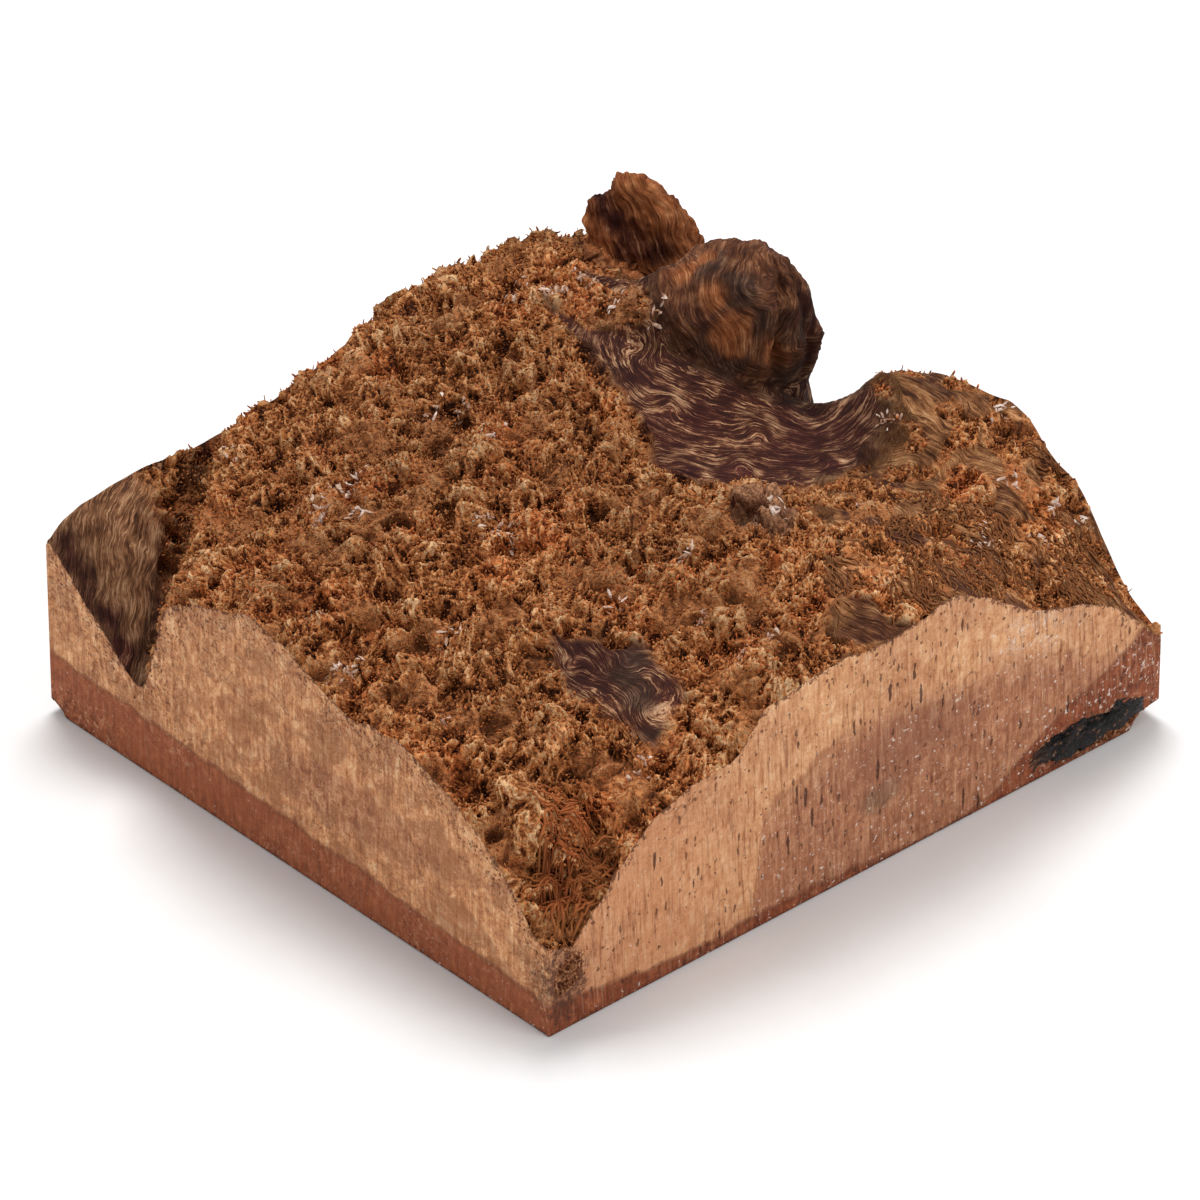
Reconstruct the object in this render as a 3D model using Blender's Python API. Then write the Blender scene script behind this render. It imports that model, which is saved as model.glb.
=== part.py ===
"""A coolibah burl: a block sawn from a larger growth, with its natural, pin-covered cap left on.

The burl grew as one piece of wood, so it is one solid. Its base and four sides are saw cuts, and
its cap is the surface that the tree grew: a mass of short wooden pins, a smooth valley at the left
corner, a cracked bud boss, a smooth knob that leans over a bay in the far side, and a broken spur.

Metres, +Z up. The origin is at the middle of the base. +X runs along the wide sawn face, and +Y
runs away from it. The near corner is where the wide sawn face (-Y) meets the narrow one (-X).
"""

import math

import bmesh
import bpy
import numpy as np
from mathutils import Matrix, Vector, noise

MM = 0.001

# Driving sizes of the sawn block, and of the cells that its cap is surveyed in.
LENGTH = 400 * MM
WIDTH = 367 * MM
GRID_CELL = 6.0 * MM
CELL_SWAY = 0.55

# Size and depth of the relief that the pins and hummocks give the cap.
HUMMOCK_WIDTH = 27 * MM
HUMMOCK_RISE = 5.0 * MM
PIN_RISE = 4.8 * MM
RIPPLE_WIDTH = 13 * MM
RIPPLE_RISE = 1.3 * MM
EDGE_RELIEF = 0.4

# Height of the cap's edge above the base, in millimetres, along each sawn face. The first number
# is the way along the face from the near corner, or from the left corner on the far face.
NARROW_FACE_EDGE = [(0, 53), (14, 54), (22, 69), (41, 85), (69, 99), (104, 112), (155, 113),
                    (183, 125), (220, 131), (250, 119), (280, 107), (320, 100), (367, 98)]
WIDE_FACE_EDGE = [(16, 46), (32, 62), (57, 86), (73, 95), (95, 102), (124, 108), (134, 122),
                  (152, 127), (184, 130), (204, 127), (243, 129), (252, 133), (289, 117),
                  (316, 99), (357, 84), (378, 69), (387, 60), (400, 44)]
FAR_FACE_EDGE = [(60, 110), (98, 112), (163, 124), (228, 141), (262, 145), (294, 143),
                 (340, 128), (370, 108), (400, 86)]
RIGHT_FACE_EDGE = [(29, 67), (48, 93), (59, 106), (84, 118), (95, 130), (116, 129), (150, 124),
                   (180, 104), (205, 62), (240, 38), (275, 44), (310, 70), (340, 86)]

# Heights of the cap inside those edges: (along X, along Y, height) in millimetres from the near
# corner.
INNER_HEIGHTS = [
    # the pin-covered mass
    (40, 40, 104), (80, 80, 127), (60, 150, 130), (110, 110, 138), (150, 60, 140), (70, 220, 140),
    (130, 180, 147), (120, 270, 140), (190, 130, 146), (200, 200, 151), (190, 280, 148),
    (150, 320, 136), (200, 340, 146), (250, 330, 156), (300, 325, 159), (330, 335, 149),
    # the smooth saddle round the foot of the knob
    (247, 175, 132), (266, 208, 143), (285, 245, 150), (280, 150, 126), (325, 132, 122),
    (338, 176, 118), (308, 165, 126), (292, 196, 142), (308, 212, 152), (300, 232, 152),
    # the shoulder at the right
    (240, 60, 140), (290, 70, 134), (330, 60, 123), (350, 100, 129), (362, 160, 141),
    (378, 140, 136),
    # the bay in the far side
    (352, 205, 104), (378, 205, 78), (385, 240, 46), (352, 250, 78), (376, 285, 68),
    (346, 286, 118), (376, 325, 100),
]

# The smooth valley runs up from the narrow face to the far one: (along X, along Y, height). Its
# wall stands on the side of the pins, and beyond it a bank rises to the left corner.
VALLEY_FOOT = (0, 294, 52)
VALLEY_HEAD = (100, 367, 114)
VALLEY_FLOOR_CURVE = 1.2
VALLEY_WALL_WIDTH = 9.0
BANK_SLOPE_AT_FACE = 0.28
BANK_SLOPE_MOST = 1.0
BANK_STEEPENS_OVER = 42.0
BANK_OVER_SURVEY = 6.0
PINS_START_BEYOND_VALLEY = 4.0
PINS_FULL_BEYOND_VALLEY = 16.0

# Smooth ground without pins: (along X, along Y, radius) in millimetres.
SMOOTH_PLACES = [(318, 200, 72), (101, 49, 15), (348, 240, 56), (366, 300, 30)]
SMOOTH_FADE = 9.0
COVER_WANDER = 12.0
COVER_WANDER_WIDTH = 34.0

# The shoulder at the right, where the pins thin out, lies beyond this line on the plan.
SHOULDER_LINE = [(196, 0), (268, 172)]
SHOULDER_FADE = 24.0
SHOULDER_COVER = 0.5

# A boss left by a bud: place, radius, rise and pit in millimetres.
BOSS_PLACE = (244, 117)
BOSS_RADIUS = 15
BOSS_RISE = 9
BOSS_PIT_DEPTH = 7
BOSS_PIT_SHARE = 0.38

# How tightly the lobes of the knob and the spur run together, and how rough their skin is.
LOBE_BLEND = 5.0
LOBE_REACH = 0.2
LOBE_STEPS = 24
DENT_WIDTH = 11 * MM
SKIN_DENT = 0.05
BREAK_DENT = 0.25

# Wood colour for the CAD view.
WOOD_COLOUR = (0.36, 0.16, 0.07, 1.0)
WOOD_ROUGHNESS = 0.85


def from_near_corner(along_x, along_y, height):
    """A point given in millimetres from the near corner of the base, in metres from the middle."""
    return Vector((along_x * MM - LENGTH / 2, along_y * MM - WIDTH / 2, height * MM))


def survey_points():
    """Every surveyed point of the cap as (along X, along Y, height), in millimetres."""
    length, width = LENGTH / MM, WIDTH / MM
    narrow = [(0, along, height) for along, height in NARROW_FACE_EDGE]
    wide = [(along, 0, height) for along, height in WIDE_FACE_EDGE]
    far = [(along, width, height) for along, height in FAR_FACE_EDGE]
    right = [(length, along, height) for along, height in RIGHT_FACE_EDGE]
    return np.array(narrow + wide + far + right + INNER_HEIGHTS, float)


def thin_plate(distance):
    """The thin-plate kernel, which bends as little as it can between the surveyed points."""
    return distance**2 * np.log(distance + 1e-9)


def cap_surface(survey):
    """A function that gives the cap's height over (along X, along Y), through every point."""
    places, heights = survey[:, :2] / 100, survey[:, 2]
    count = len(places)
    apart = np.linalg.norm(places[:, None] - places[None], axis=2)
    flat = np.hstack([np.ones((count, 1)), places])
    system = np.zeros((count + 3, count + 3))
    system[:count, :count] = thin_plate(apart)
    system[:count, count:] = flat
    system[count:, :count] = flat.T
    weights = np.linalg.solve(system, np.concatenate([heights, np.zeros(3)]))

    def height_at(x, y):
        reach = np.linalg.norm(places - np.array([x, y]) / 100, axis=1)
        bent = thin_plate(reach) @ weights[:count]
        return bent + weights[count] + (weights[count + 1] * x + weights[count + 2] * y) / 100

    return height_at


def side_of(line_start, line_end, x, y):
    """How far the place lies to the right of a line on the plan, in millimetres."""
    way = (Vector(line_end).xy - Vector(line_start).xy).normalized()
    return (Vector((x, y)) - Vector(line_start).xy).dot(Vector((way.y, -way.x)))


def ramp(value, low, high):
    """0 below low, 1 above high, and straight between them."""
    return min(max((value - low) / (high - low), 0.0), 1.0)


def carve_valley(x, y, height):
    """The height with the smooth valley cut in: a steep wall on the pins' side, a bank beyond."""
    foot, head = Vector(VALLEY_FOOT), Vector(VALLEY_HEAD)
    run = (head - foot).xy
    share = max((Vector((x, y)) - foot.xy).dot(run) / run.length_squared, 0.0)
    floor = foot.z + (head.z - foot.z) * share**VALLEY_FLOOR_CURVE
    side = side_of(foot, head, x, y)
    if side > 0:
        wall = 1 - math.exp(-((side / VALLEY_WALL_WIDTH) ** 2))
        return floor + (height - floor) * wall if height > floor else height
    slope = min(BANK_SLOPE_AT_FACE + x / BANK_STEEPENS_OVER, BANK_SLOPE_MOST)
    return min(floor - side * slope, height + BANK_OVER_SURVEY)


def pin_cover(x, y):
    """How thickly pins cover the cap there, from 0 on smooth wood to 1."""
    wander = COVER_WANDER * noise.noise(Vector((x, y, 0)) / COVER_WANDER_WIDTH)
    past_valley = side_of(VALLEY_FOOT, VALLEY_HEAD, x, y)
    cover = ramp(past_valley, PINS_START_BEYOND_VALLEY, PINS_FULL_BEYOND_VALLEY)
    for place_x, place_y, radius in SMOOTH_PLACES:
        reach = math.hypot(x - place_x, y - place_y) + wander
        cover *= ramp(reach, radius, radius + SMOOTH_FADE)
    beyond = ramp(side_of(*SHOULDER_LINE, x, y) + 2 * wander, 0, SHOULDER_FADE)
    return cover * (1 - (1 - SHOULDER_COVER) * beyond)


def boss_rise(x, y):
    """The rise of the round boss, with the pit at its heart, in millimetres."""
    reach = math.hypot(x - BOSS_PLACE[0], y - BOSS_PLACE[1]) / BOSS_RADIUS
    dome = BOSS_RISE * math.exp(-(reach**4))
    pit = BOSS_PIT_DEPTH * math.exp(-((reach / BOSS_PIT_SHARE) ** 2))
    return dome - pit


def relief(x, y, column, row):
    """The relief of hummocks, pins and ripples over the cap, in metres."""
    cover = pin_cover(x, y)
    place = Vector((x, y, 0)) * MM
    hummock = 0.5 - 2 * abs(noise.noise(place / HUMMOCK_WIDTH))
    pin = noise.cell(Vector((column, row, 3)) * 1.7) - 0.5
    ripple = noise.noise(place / RIPPLE_WIDTH + Vector((0, 0, 9)))
    rough = HUMMOCK_RISE * hummock + PIN_RISE * pin
    return cover * rough + (1 - cover) * RIPPLE_RISE * ripple


def cap_points():
    """The cap's points as rows of vectors, from the near corner along X and then along Y."""
    height_at = cap_surface(survey_points())
    columns = round(LENGTH / GRID_CELL)
    rows = round(WIDTH / GRID_CELL)
    grid = []
    for row in range(rows + 1):
        line = []
        for column in range(columns + 1):
            inside_x = 0 < column < columns
            inside_y = 0 < row < rows
            sway = noise.noise_vector(Vector((column, row, 6)) * 0.83) * CELL_SWAY
            x = (column + (sway.x if inside_x else 0)) * LENGTH / MM / columns
            y = (row + (sway.y if inside_y else 0)) * WIDTH / MM / rows
            point = from_near_corner(x, y, carve_valley(x, y, height_at(x, y)) + boss_rise(x, y))
            point.z += relief(x, y, column, row) * (1 if inside_x and inside_y else EDGE_RELIEF)
            line.append(point)
        grid.append(line)
    return grid


def sawn_block():
    """The block: the natural cap, four sawn sides under its edge, and the flat sawn base."""
    mesh = bmesh.new()
    top = [[mesh.verts.new(point) for point in line] for line in cap_points()]
    rows, columns = len(top) - 1, len(top[0]) - 1
    for row in range(rows):
        for column in range(columns):
            near, far = top[row], top[row + 1]
            mesh.faces.new((near[column], near[column + 1], far[column + 1], far[column]))
    edge = [top[0][column] for column in range(columns)]
    edge += [top[row][columns] for row in range(rows)]
    edge += [top[rows][column] for column in range(columns, 0, -1)]
    edge += [top[row][0] for row in range(rows, 0, -1)]
    base = [mesh.verts.new((vert.co.x, vert.co.y, 0)) for vert in edge]
    for index, vert in enumerate(edge):
        after = (index + 1) % len(edge)
        mesh.faces.new((base[index], base[after], edge[after], vert))
    mesh.faces.new(base[::-1])
    return finished_object("burl", mesh, bpy.context.scene.collection)


def finished_object(name, mesh, collection):
    """Turns a bmesh into a named object of the collection."""
    data = bpy.data.meshes.new(name)
    mesh.normal_update()
    mesh.to_mesh(data)
    mesh.free()
    made = bpy.data.objects.new(name, data)
    collection.objects.link(made)
    return made


def turned(lean):
    """The rotation for (about X, about Y, about Z), in degrees."""
    turn = Matrix.Rotation(math.radians(lean[2]), 3, "Z")
    turn = turn @ Matrix.Rotation(math.radians(lean[1]), 3, "Y")
    return turn @ Matrix.Rotation(math.radians(lean[0]), 3, "X")


def outside_lobes(point, lobes):
    """Negative inside the lobes, positive outside, and smooth where two lobes meet."""
    total = 0.0
    for centre, radii, lean in lobes:
        local = turned(lean).transposed() @ (point - from_near_corner(*centre)) / MM
        reach = Vector((local.x / radii[0], local.y / radii[1], local.z / radii[2])).length
        total += math.exp(-LOBE_BLEND * (reach - 1))
    return -math.log(total)


def growth(name, heart, lobes, dent, subdivisions, collection):
    """Lobes run into one skin, all of which the heart can see, for joining to the burl or cutting.

    The heart and each lobe's (centre, radii, lean) are in millimetres from the near corner, and in
    degrees. dent is how deep the skin's dents are, as a share of the reach from the heart.
    """
    start = from_near_corner(*heart)
    mesh = bmesh.new()
    bmesh.ops.create_icosphere(mesh, subdivisions=subdivisions, radius=1)
    for vert in mesh.verts:
        way = vert.co.normalized()
        inner, outer = 0.0, LOBE_REACH
        for _ in range(LOBE_STEPS):
            middle = (inner + outer) / 2
            if outside_lobes(start + way * middle, lobes) < 0:
                inner = middle
            else:
                outer = middle
        roughened = 1 + dent * noise.noise((start + way * inner) / DENT_WIDTH)
        vert.co = start + way * inner * roughened
    made = finished_object(name, mesh, collection)
    made.hide_render = True
    made.display_type = "WIRE"


def tool_collection(name):
    """A collection of shapes for one Boolean."""
    made = bpy.data.collections.new(name)
    bpy.context.scene.collection.children.link(made)
    return made


def add_knob(growths):
    """The smooth knob that leans over the bay, its flank and flange, and its spreading stem."""
    top = (327, 227, 152), (37, 35, 43), (0, 8, 35)
    flange = (341, 219, 141), (13, 24, 35), (0, -6, 38)
    flank = (311, 249, 144), (40, 30, 31), (0, 6, -42)
    stem = (350, 236, 92), (25, 29, 44), (0, -6, 0)
    foot = (354, 242, 54), (36, 42, 34), (0, 0, 0)
    lobes = [top, flange, flank, stem, foot]
    growth("knob", (334, 232, 122), lobes, SKIN_DENT, 4, growths)


def add_spur(growths):
    """The broken spur behind the pin-covered mass: a flake that rises to a horn."""
    flake = (350, 318, 138), (29, 16, 42), (0, -14, -42)
    horn = (344, 324, 168), (10, 8, 20), (0, -4, -42)
    spike = (332, 334, 160), (7, 7, 17), (0, -4, -42)
    root = (354, 320, 84), (38, 34, 56), (0, 0, -42)
    growth("spur", (346, 322, 146), [flake, horn, spike, root], SKIN_DENT, 4, growths)


def add_hollows(hollows):
    """The gum pocket in the wide face, the rotted near corner, and the chipped base corners."""
    gum = (350, -3, 12), (48, 8, 10), (0, 4, 0)
    rot = (12, -3, 31), (9, 8, 12), (0, 30, 0)
    left = (-2, WIDTH / MM + 2, -2), (13, 18, 9), (0, 0, 0)
    right = (LENGTH / MM + 3, -3, -2), (30, 16, 13), (0, 0, 0)
    growth("gum_pocket", gum[0], [gum], BREAK_DENT, 3, hollows)
    growth("rotted_corner", rot[0], [rot], BREAK_DENT, 3, hollows)
    growth("left_chip", left[0], [left], BREAK_DENT, 2, hollows)
    growth("right_chip", right[0], [right], BREAK_DENT, 2, hollows)


def boolean(burl, operation, collection):
    """Joins a collection's shapes to the burl, or cuts them from it."""
    modifier = burl.modifiers.new(collection.name, "BOOLEAN")
    modifier.operation = operation
    modifier.operand_type = "COLLECTION"
    modifier.collection = collection
    modifier.solver = "EXACT"


def wood():
    """Raw burl wood, dull and brown."""
    material = bpy.data.materials.new("burl_wood")
    material.use_nodes = True
    shader = material.node_tree.nodes["Principled BSDF"]
    shader.inputs["Base Color"].default_value = WOOD_COLOUR
    shader.inputs["Roughness"].default_value = WOOD_ROUGHNESS
    shader.inputs["Metallic"].default_value = 0.0
    return material


def clear_scene():
    """Removes whatever the file opened with."""
    for old in list(bpy.data.objects):
        bpy.data.objects.remove(old)


def main():
    clear_scene()
    burl = sawn_block()
    burl.data.materials.append(wood())
    growths = tool_collection("growths")
    hollows = tool_collection("hollows")
    add_knob(growths)
    add_spur(growths)
    add_hollows(hollows)
    boolean(burl, "UNION", growths)
    boolean(burl, "DIFFERENCE", hollows)


main()
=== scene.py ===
"""A raw coolibah burl block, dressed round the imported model.

Metres, +Z up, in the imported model's frame. The base lies on z = 0, the wide sawn face looks along
-Y and the narrow one along -X. Places are given in millimetres from the near corner of the base,
where those two faces meet: along X, along Y, height.
"""

import math

import bmesh
import bpy
import numpy as np
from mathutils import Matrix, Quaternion, Vector, noise
from mathutils.bvhtree import BVHTree
from mathutils.kdtree import KDTree


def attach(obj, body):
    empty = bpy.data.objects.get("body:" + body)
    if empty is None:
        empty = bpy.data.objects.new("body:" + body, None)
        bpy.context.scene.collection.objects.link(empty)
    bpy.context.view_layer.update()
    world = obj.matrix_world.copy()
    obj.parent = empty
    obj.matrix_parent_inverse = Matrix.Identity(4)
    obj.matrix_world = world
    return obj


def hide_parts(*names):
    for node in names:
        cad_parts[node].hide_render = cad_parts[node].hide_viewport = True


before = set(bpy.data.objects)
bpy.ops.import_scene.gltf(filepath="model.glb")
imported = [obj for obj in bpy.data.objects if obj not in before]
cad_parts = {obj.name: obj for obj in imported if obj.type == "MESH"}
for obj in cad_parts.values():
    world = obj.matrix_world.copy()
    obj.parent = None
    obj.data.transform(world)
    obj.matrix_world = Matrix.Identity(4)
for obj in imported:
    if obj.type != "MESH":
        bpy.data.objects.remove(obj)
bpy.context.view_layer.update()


# The wood. The real block is one piece of coolibah burl, sawn from a growth on the trunk: a flat
# base and four flat sides, and on top the cap that the tree grew, with its knob, spur and valley.
# This skin closes on itself and takes the place of the whole solid.
MM = 0.001
LENGTH = 400
WIDTH = 367
SPLITS = 2
SMOOTHING_PASSES = 18
STRIP_CUTS = [97, 192, 286]
CROSS_CUTS = [165, 280]
KNOB_PLACE = (330, 228)
SPUR_PLACE = (347, 320)
VALLEY_FOOT = (0, 294)
VALLEY_HEAD = (88, 367)
BOSS_PLACE = (234, 107)
SMOOTH_GROUND = [
    (262, 296), (260, 262), (254, 235), (247, 212), (240, 190), (230, 168), (238, 157),
    (256, 148), (270, 133), (294, 124), (322, 127), (341, 125), (348, 140), (358, 166),
    (402, 172), (402, 345), (376, 332), (352, 300), (312, 296), (290, 302),
]
POROUS_GROUND = [
    (260, 288), (265, 270), (275, 257), (283, 241), (291, 249), (297, 265), (300, 300),
    (286, 314), (266, 304),
]
SWIRL_PATCH = [(94, 99), (106, 82), (119, 67), (114, 34), (90, 26), (84, 50), (80, 72)]
SHOULDER = [
    (276, 116), (241, 72), (203, 34), (183, -9), (410, -9), (410, 172), (358, 166), (348, 140),
    (341, 125), (322, 127), (294, 124),
]
SHOULDER_EYES = [
    (300, 92, 9), (254, 36, 8), (246, 54, 6), (338, 79, 10), (381, 96, 9), (367, 39, 9),
    (324, 54, 7), (330, 27, 7), (334, 9, 6), (288, 62, 7), (352, 38, 8), (389, 60, 8),
]
FLOW_EYES = [(279, 242, 7), (291, 173, 8), (268, 160, 8), (308, 140, 7), (262, 205, 6)]
PATCH_EYES = [(106, 65, 9), (96, 38, 9), (88, 84, 6)]
MAROON_SPOTS = [
    (237, 163, 135, 9), (260, 156, 128, 10),
    (286, 151, 126, 14), (305, 136, 124, 9), (342, 304, 150, 9), (337, 310, 157, 8),
    (332, 322, 165, 8), (332, 336, 177, 6), (333, 53, 118, 9), (309, 28, 117, 9),
    (290, 4, 117, 8), (356, 20, 95, 8), (346, 3, 90, 8), (283, 64, 135, 8), (267, 26, 137, 6),
    (249, 200, 143, 8), (265, 225, 150, 9), (236, 308, 148, 9), (38, 154, 118, 8),
    (56, 138, 124, 7), (45, 106, 114, 8), (31, 126, 112, 8), (5, 82, 104, 8), (29, 38, 84, 9),
    (310, 160, 126, 13), (272, 190, 140, 10), (292, 150, 127, 10), (325, 148, 120, 10),
]
SOOTY_SPOTS = [
    (312, 234, 190, 11), (312, 211, 186, 13), (293, 212, 160, 10), (317, 196, 169, 9),
    (328, 193, 163, 8), (342, 194, 156, 8), (333, 195, 132, 9), (300, 205, 150, 8),
    (100, 48, 124, 10), (112, 66, 133, 9), (93, 27, 113, 9), (104, 58, 129, 8),
]
FURRY_SPOTS = [
    (301, 219, 180, 8), (304, 203, 170, 10), (299, 205, 163, 8), (306, 246, 182, 8),
    (316, 240, 186, 7), (322, 195, 150, 8),
]
HOLLOWS = [(350, -3, 12, 52), (12, -3, 31, 16), (-2, 369, -2, 22), (403, -3, -2, 34)]
MAROON_STREAKS = [([(6, 362, 96), (5, 345, 76), (5, 328, 64), (4, 312, 56)], 1.4, 8.0)]
CLEFTS = [
    ([(338, 203, 184), (331, 195, 172), (326, 193, 161), (323, 192, 151), (324, 192, 136)], 8.0, 4.0),
    ([(346, 205, 182), (344, 197, 169), (345, 194, 156), (349, 195, 142), (347, 197, 128)], 3.2, 3.2),
    ([(100, 364, 115), (72, 345, 99), (45, 325, 80), (22, 309, 62), (3, 299, 48)], 4.0, 6.5),
    ([(317, 202, 181), (315, 196, 167), (309, 194, 153), (304, 194, 141)], 1.5, 4.0),
    ([(311, 208, 181), (307, 200, 168), (301, 203, 152)], 1.2, 3.5),
]
SPUR_BAND = ([(334, 338, 182), (331, 330, 170), (331, 320, 164), (336, 311, 157), (342, 304, 148)], 4.0, 6.0)


def merged(mesh):
    """The mesh's points in millimetres from the near corner, shared ones once, and triangles."""
    mesh.calc_loop_triangles()
    found = np.empty(3 * len(mesh.vertices), np.float32)
    mesh.vertices.foreach_get("co", found)
    triangles = np.empty(3 * len(mesh.loop_triangles), np.int32)
    mesh.loop_triangles.foreach_get("vertices", triangles)
    places = found.reshape(-1, 3) / MM + [LENGTH / 2, WIDTH / 2, 0]
    keys = np.round(places * 1000).astype(int)
    _, first, joined = np.unique(keys, axis=0, return_index=True, return_inverse=True)
    triangles = joined.reshape(-1)[triangles].reshape(-1, 3)
    whole = (triangles != np.roll(triangles, 1, axis=1)).all(axis=1)
    return places[first], triangles[whole]


def edges_of(triangles):
    """Each edge once, and the number of the edge on each side of each triangle."""
    sides = [triangles[:, [0, 1]], triangles[:, [1, 2]], triangles[:, [2, 0]]]
    ends = np.sort(np.concatenate(sides), axis=1)
    edges, number = np.unique(ends, axis=0, return_inverse=True)
    return edges, number.reshape(3, -1)


def split_each(places, triangles):
    """Every triangle made four, through the middles of its edges."""
    edges, number = edges_of(triangles)
    a, b, c = triangles.T
    ab, bc, ca = number + len(places)
    corners = [(a, ab, ca), (ab, b, bc), (ca, bc, c), (ab, bc, ca)]
    split = np.concatenate([np.stack(three, axis=1) for three in corners])
    return np.concatenate([places, places[edges].mean(axis=1)]), split


def outward(places, triangles):
    """The way out of the wood at each point."""
    a, b, c = (places[triangles[:, corner]] for corner in range(3))
    across = np.cross(b - a, c - a)
    total = np.zeros_like(places)
    for corner in range(3):
        for axis in range(3):
            total[:, axis] += np.bincount(triangles[:, corner], across[:, axis], len(places))
    return total / np.maximum(np.linalg.norm(total, axis=1, keepdims=True), 1e-12)


def wander(places, width, seed):
    """Smooth noise over the places, about -1 to 1, with bumps of this width in millimetres."""
    shift = Vector((seed * 7.31, seed * 3.17, seed * 5.73))
    return np.array([noise.noise(Vector(place) / width + shift) for place in places.tolist()])


def ramp(value, low, high):
    """0 below low, 1 above high, and an easy curve between them."""
    share = np.clip((value - low) / (high - low), 0, 1)
    return share * share * (3 - 2 * share)


def beyond(outline, plan):
    """How far each place lies outside a closed outline on the plan. Inside, it is negative."""
    nearest = np.full(len(plan), 1e9)
    inside = np.zeros(len(plan), bool)
    for start, end in zip(outline, outline[1:] + outline[:1]):
        run = np.subtract(end, start)
        share = np.clip((plan - start) @ run / (run @ run), 0, 1)
        gap = plan - start - share[:, None] * run
        nearest = np.minimum(nearest, np.linalg.norm(gap, axis=1))
        if run[1]:
            crossing = start[0] + (plan[:, 1] - start[1]) / run[1] * run[0]
            spans = (plan[:, 1] < start[1]) != (plan[:, 1] < end[1])
            inside ^= spans & (plan[:, 0] < crossing)
    return np.where(inside, -nearest, nearest)


def from_place(plan, place):
    """How far each point of the plan is from one place."""
    return np.linalg.norm(plan - np.array(place[:2], float), axis=1)


def spots(places, centres):
    """How strongly soft round spots cover each point, from 0 to 1."""
    total = np.zeros(len(places))
    for x, y, z, radius in centres:
        away = np.linalg.norm(places - [x, y, z], axis=1)
        total = np.maximum(total, np.exp(-((away / radius) ** 4)))
    return total


def rings(plan, eyes, strength):
    """What the grain gains near each eye, so that it closes into rings there."""
    total = np.zeros(len(plan))
    for x, y, radius in eyes:
        total += strength * radius * np.exp(-((from_place(plan, (x, y)) / radius) ** 2))
    return total


def split_between(places, triangles, chosen):
    """Triangles split through the middles of their edges that join two chosen points."""
    edges, number = edges_of(triangles)
    cut = chosen[edges].all(axis=1)
    middle = np.cumsum(cut) - 1 + len(places)
    cuts = cut[number].sum(axis=0)
    parts = [triangles[cuts == 0]]
    for turn in range(3):
        order = [(turn + step) % 3 for step in range(3)]
        a, b, c = (triangles[:, corner] for corner in order)
        ab, bc, ca = (middle[number[side]] for side in order)
        first, second = (cut[number[side]] for side in order[:2])
        one = (cuts == 1) & first
        parts += [np.stack(three, axis=1)[one] for three in [(a, ab, c), (ab, b, c)]]
        two = (cuts == 2) & first & second
        corners = [(ab, b, bc), (a, ab, bc), (a, bc, c)]
        parts += [np.stack(three, axis=1)[two] for three in corners]
    corners = [(a, ab, ca), (ab, b, bc), (ca, bc, c), (ab, bc, ca)]
    parts += [np.stack(three, axis=1)[cuts == 3] for three in corners]
    return np.concatenate([places, places[edges[cut]].mean(axis=1)]), np.concatenate(parts)


def in_hollows(places):
    """Which points lie in the gum pocket, the rotted corner or the chipped corners of the base."""
    found = np.zeros(len(places), bool)
    for x, y, z, reach in HOLLOWS:
        near = from_place(places[:, :2], (x, y)) < reach
        found |= near & (np.abs(places[:, 2] - z) < 14)
    return found


def grooves(places, lines):
    """How deep each point is cut by grooves along lines, each with its depth and half width."""
    total = np.zeros(len(places))
    for line, depth, half_width in lines:
        nearest = np.full(len(places), 1e9)
        for start, end in zip(line, line[1:]):
            run = np.subtract(end, start)
            share = np.clip((places - start) @ run / (run @ run), 0, 1)
            gap = places - start - share[:, None] * run
            nearest = np.minimum(nearest, np.linalg.norm(gap, axis=1))
        total = np.maximum(total, depth * np.exp(-((nearest / half_width) ** 2)))
    return total


def sawn_sides(places):
    """Which points lie on a sawn side across X, on one across Y, and on the base."""
    ends = (places[:, 0] < 0.01) | (places[:, 0] > LENGTH - 0.01)
    faces = (places[:, 1] < 0.01) | (places[:, 1] > WIDTH - 0.01)
    return np.stack([ends, faces, places[:, 2] < 0.01], axis=1)


def natural(places, edges):
    """Which points lie on the natural cap or on its edge, and how freely each may move."""
    sawn = sawn_sides(places)
    grown = ~sawn.any(axis=1)
    found = grown.copy()
    found[edges[grown[edges[:, 0]], 1]] = True
    found[edges[grown[edges[:, 1]], 0]] = True
    rim = found & ~grown
    freely = ~sawn * found[:, None] * 1.0
    freely[rim, :2] = 0
    freely[rim & in_hollows(places)] = 0
    return found, freely


burl_places, burl_triangles = merged(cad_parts["burl"].data)
for _ in range(SPLITS):
    burl_places, burl_triangles = split_each(burl_places, burl_triangles)
burl_edges, _ = edges_of(burl_triangles)

# The solid's coarse relief is eased away, so that finer relief can take its place. Points on a
# sawn side stay in its plane.
cap_points, free = natural(burl_places, burl_edges)
soft_edges = burl_edges[cap_points[burl_edges].all(axis=1)]
starts = np.concatenate([soft_edges[:, 0], soft_edges[:, 1]])
finishes = np.concatenate([soft_edges[:, 1], soft_edges[:, 0]])
count = np.maximum(np.bincount(starts, minlength=len(burl_places)), 1)[:, None]
near_knob = ramp(48 - from_place(burl_places[:, :2], KNOB_PLACE), 0, 8)
near_knob *= ramp(burl_places[:, 2], 122, 150)
near_spur = ramp(36 - from_place(burl_places[:, :2], SPUR_PLACE), 0, 7)
near_spur *= ramp(burl_places[:, 2], 120, 142)
pull = (0.55 - 0.52 * np.maximum(near_knob, near_spur))[:, None] * free
for _ in range(SMOOTHING_PASSES):
    total = [np.bincount(starts, burl_places[finishes, k], len(burl_places)) for k in range(3)]
    burl_places += pull * (np.stack(total, axis=1) / count - burl_places)

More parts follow.
